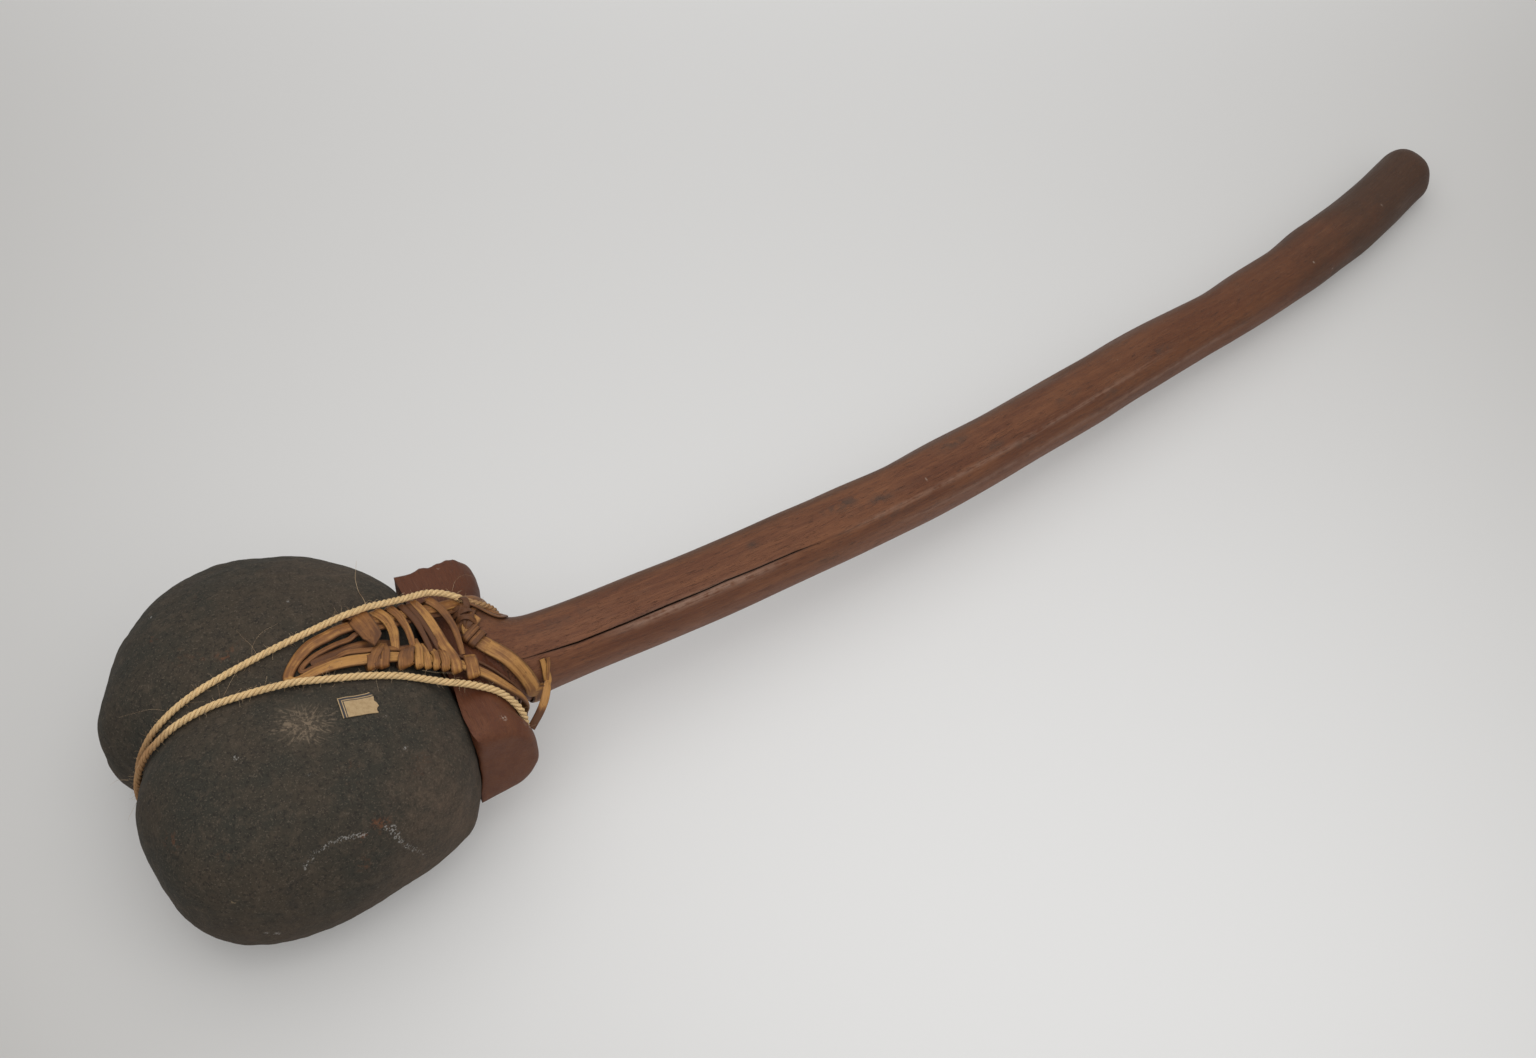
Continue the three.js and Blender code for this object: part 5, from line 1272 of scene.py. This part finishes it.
end_tree(fibres, given["Finish"])
hair_finish, pen, sockets = new_finish("broken plant fibre")
place = place_of(pen)
colour = tinted((0.3, 0.19, 0.1), (0.62, 0.46, 0.28), rise_between(cloud(place, 140, 2, 0.5), 0.35, 0.65))
finished(sockets, colour, 0.6 + cloud(place, 300, 1, 0.5) * 0.2)
cord_hairs = shaped("binding_cord_hairs", hair_tree, binding_cord.data.copy(), {
    "Density": 42000.0, "Length": 0.0042, "Thickness": 0.00005, "Seed": 4, "Finish": hair_finish})
hair_points = vectors_of(cord_hairs.data.vertices)
hair_points[:, 2] = np.maximum(hair_points[:, 2], 0.0003)
cord_hairs.data.vertices.foreach_set("co", hair_points.ravel())
settled(cord_hairs, "cord")

# The long strays, each rooted in the cord and springing clear of the stone
STRAY_STATIONS = 26
stray_taper = 1 - 0.6 * np.linspace(0, 1, STRAY_STATIONS)
stray_rows = []
for stops, thickness in (
    ([(59.7, 11.6, 126), (58.9, 12.9, 133), (57.4, 14.9, 138.5), (58.2, 20.1, 142.5), (60.4, 24.4, 144.5),
      (62.9, 29.3, 145.5)], 0.3),
    ([(-5, 5, 130), (-6, 11, 133.5), (-8, 17, 134), (-9, 25, 132)], 0.14),
    ([(-8, 6, 130), (-5, 11, 133), (2, 16, 134), (12, 19, 132.5)], 0.12),
    ([(-30, -9.5, 128), (-24, -5, 131), (-18, 0, 133), (-15, 6, 133)], 0.14),
    ([(-32, -9.5, 128), (-31, -5, 131), (-31, 0, 133), (-33, 4, 133.5)], 0.12),
    ([(-50, 3, 124), (-50, -1.5, 127), (-46, -6, 128), (-40, -8.5, 128)], 0.13),
    ([(-60, 2, 120), (-66, 5, 121), (-74, 9, 118), (-82, 14, 113)], 0.12),
    ([(46, -33, 129), (45, -37, 131), (44, -41, 129), (43.5, -44, 127.5)], 0.13),
    ([(20, -27, 131), (24, -23, 134), (29, -21, 135), (33, -22, 134)], 0.12),
    ([(-88, -2, 80), (-93, 2, 78), (-97, 4, 74), (-97, 7, 70)], 0.14),
    ([(-87, -4, 62), (-92, -8, 60), (-95, -12, 61), (-95, -15, 64)], 0.13),
    ([(70, -39, 124), (74, -44, 126), (80, -47, 125), (85, -46, 121)], 0.12),
    ([(110, 18, 104), (114, 22, 107), (120, 24, 107), (125, 23, 104)], 0.12),
):
    curve = smooth_path([(*stop, 0.3, 0.2, 1) for stop in stops], STRAY_STATIONS)
    stray_rows.append(strip(curve, thickness * stray_taper, thickness * stray_taper, 0.8))
made_of_strips("binding_cord_strays", stray_rows, {
    "Sides": 5, "Squareness": 1.0, "Grooving": 0.0, "Finish": hair_finish}, "cord")

# ---------------------------------------------------------------------------------------------
# Paper label: a small slip of aged paper pasted on the near lobe, with a ruled border left on two
# sides, a torn right edge and nothing written on it.
LABEL_LENGTH, LABEL_WIDTH, LABEL_THICKNESS = 19.2, 13.4, 0.4
LABEL_X, LABEL_Y, LABEL_TURN = 30.5, -47.1, -0.13
LABEL_COLUMNS, LABEL_ROWS, PASTE = 46, 34, 0.25
u, v = np.meshgrid(np.linspace(0, 1, LABEL_COLUMNS), np.linspace(0, 1, LABEL_ROWS), indexing="ij")
tear = waver(v[0] * 5.3, 1.7, 0.4) * 0.055 + waver(v[0] * 17.0, 4.1) * 0.03
tear = tear + 0.07 * bell(v[0] - 0.42, 0.2) - 0.035 * ease(v[0], 0.8, 1.0)
flat_x = (u * (1 - 0.05 + tear[None, :] * ease(u, 0.5, 1.0)) - 0.5) * LABEL_LENGTH
flat_y = (v - 0.5) * LABEL_WIDTH + 0.12 * np.sin(u * 9)
label_x = LABEL_X + flat_x * math.cos(LABEL_TURN) - flat_y * math.sin(LABEL_TURN)
label_y = LABEL_Y + flat_x * math.sin(LABEL_TURN) + flat_y * math.cos(LABEL_TURN)
label_bed = np.array([stone_height(x, y) for x, y in zip(label_x.ravel(), label_y.ravel())]).reshape(u.shape)
for _ in range(8):
    padded = np.pad(label_bed, 1, mode="edge")
    level = (padded[:-2, 1:-1] + padded[2:, 1:-1] + padded[1:-1, :-2] + padded[1:-1, 2:]) / 4
    label_bed = np.maximum(label_bed, level)
curl = 0.5 * ease(u, 0.84, 1.0) * ease(v, 0.2, 0.7) + 0.35 * ease(u, 0.1, 0.0) * ease(v, 0.75, 1.0)
top_side = np.stack((label_x, label_y, label_bed + PASTE + LABEL_THICKNESS + curl), axis=-1).reshape(-1, 3)
low_side = top_side - (0, 0, LABEL_THICKNESS)
cell = np.arange(LABEL_COLUMNS * LABEL_ROWS).reshape(LABEL_COLUMNS, LABEL_ROWS)
label_faces = []
for c in range(LABEL_COLUMNS - 1):
    for r in range(LABEL_ROWS - 1):
        quad = [int(k) for k in (cell[c, r], cell[c + 1, r], cell[c + 1, r + 1], cell[c, r + 1])]
        label_faces += [quad, [cell.size + k for k in quad[::-1]]]
rim = np.concatenate((cell[:, 0], cell[-1, 1:], cell[-2::-1, -1], cell[0, -2:0:-1])).tolist()
for a, b in zip(rim, rim[1:] + rim[:1]):
    label_faces.append((a, cell.size + a, cell.size + b, b))
label_mesh = skinned("paper_label_sheet", in_row(np.vstack((top_side, low_side))), label_faces)
sheet_place = np.stack((u * LABEL_LENGTH, v * LABEL_WIDTH, 0 * u), axis=-1).reshape(-1, 3)
mark(label_mesh, "sheet", np.vstack((sheet_place, sheet_place)))

label_finish, pen, sockets = new_finish("aged paper")
sheet = kept_mark(pen, "sheet", 1)
from_left, from_top = part_of(sheet, 0), LABEL_WIDTH - part_of(sheet, 1)
felted, stains = cloud(sheet, 2.2, 3, 0.6), cloud(sheet, 0.32, 3, 0.6)
edge = pen.math("MINIMUM", from_left, from_top)
ruled = pen.math("MAXIMUM", rise_between(pen.math("ABSOLUTE", edge - 1.15), 0.72, 0.55),
                 rise_between(pen.math("ABSOLUTE", edge - 2.65), 0.34, 0.2))
colour = layered(
    (0.38, 0.255, 0.125),
    ("pale paper", (0.49, 0.35, 0.19), rise_between(felted * 0.4 + stains * 0.6, 0.38, 0.62)),
    ("stains", (0.24, 0.145, 0.065), rise_between(stains, 0.56, 0.76) * 0.5),
    ("ruled border", (0.02, 0.024, 0.036), ruled * 0.95))
finished(sockets, colour, 0.85 + (felted - 0.5) * 0.2)
embossed(felted, 0.3, 0.0002, sockets)
label_mesh.materials.append(label_finish)
settled(linked("paper_label_slip", label_mesh), "paper", "paper_label")

# ---------------------------------------------------------------------------------------------
# Floor and light: a plain pale paper floor, brighter towards its near right, under a very broad
# soft light overhead, two more from the front and the front left, and an even fill from all round.
FLOOR_HALF, FLOOR_GLOW, FAR_GLOW = 6, 0.274, 0.64
floor_mesh = bpy.data.meshes.new("floor")
floor_corners = [(x * FLOOR_HALF, y * FLOOR_HALF, 0) for x, y in ((-1, -1), (1, -1), (1, 1), (-1, 1))]
floor_mesh.from_pydata(floor_corners, [], [(0, 1, 2, 3)])
floor = linked("floor", floor_mesh)
floor_finish, pen, sockets = new_finish("pale paper floor")
place = place_of(pen)
floor_x, floor_y = part_of(place, 0), part_of(place, 1)
# The light's fall is followed over the floor round the tool, and evens out further away
VIEW_RIGHT, VIEW_AWAY = 0.888, 0.46
rightward, away = floor_x * VIEW_RIGHT - floor_y * VIEW_AWAY, floor_x * VIEW_AWAY + floor_y * VIEW_RIGHT
held_right = pen.math("MINIMUM", pen.math("MAXIMUM", rightward, -0.61), 0.49)
held_away = pen.math("MINIMUM", pen.math("MAXIMUM", away, -0.38), 0.55)
beyond = pen.math("ABSOLUTE", rightward - held_right) + pen.math("ABSOLUTE", away - held_away)
floor_x = held_right * VIEW_RIGHT + held_away * VIEW_AWAY
floor_y = held_away * VIEW_RIGHT - held_right * VIEW_AWAY
glow = (0.713 - floor_x * 0.081 - floor_y * 0.178
        - floor_x * floor_x * 0.621 + floor_x * floor_y * 0.226 - floor_y * floor_y * 0.14
        + floor_x ** 3.0 * 0.197 + floor_x * floor_x * floor_y * 1.038
        + floor_x * floor_y * floor_y * 0.77 + floor_y ** 3.0 * 0.555)
glow = glow + (FAR_GLOW - glow) * rise_between(beyond, 0.0, 0.7)
colour = tinted((0.504, 0.491, 0.47), (0.876, 0.873, 0.864), (glow - 0.46) / 0.34)


def seen_rays(pen):
    """One for rays from the camera, or from gloss and glass, and nothing for light that falls on things."""
    rays = pen.node("ShaderNodeLightPath")
    bounced = pen.math("MAXIMUM", rays.other("Is Glossy Ray"), rays.other("Is Transmission Ray"))
    return pen.math("MAXIMUM", rays, bounced)


glowing = FLOOR_GLOW * seen_rays(pen)
tinted(colour, (0, 0, 0), glowing).into(sockets["Base Color"])
tinted((0, 0, 0), colour, glowing).into(sockets["Emission Color"])
for name, value in (("Emission Strength", 1.0), ("Roughness", 0.9), ("Specular IOR Level", 0.1)):
    sockets[name].default_value = value
floor_mesh.materials.append(floor_finish)

LIT_SPOT = Vector(in_row((250, 0, 0)))
for name, place, size, power in (
    ("overhead", (330, 420, 2250), 3.0, 18.5), ("front", (420, -1500, 2050), 2.4, 17.2),
    ("front left", (-900, -900, 2200), 1.8, 10.6),
):
    lamp = linked(name, bpy.data.lights.new(name, "AREA"))
    lamp.data.shape, lamp.data.size, lamp.data.energy = "DISK", size, power
    lamp.location = in_row(place)
    lamp.rotation_euler = (LIT_SPOT - lamp.location).to_track_quat("-Z", "Y").to_euler()
world = bpy.data.worlds.new("even fill")
bpy.context.scene.world = world
world.use_nodes = True
fill = world.node_tree.nodes["Background"].inputs
tinted((0.343, 0.343, 0.345), (0.66, 0.655, 0.645), seen_rays(Wash(world.node_tree))).into(fill["Color"])
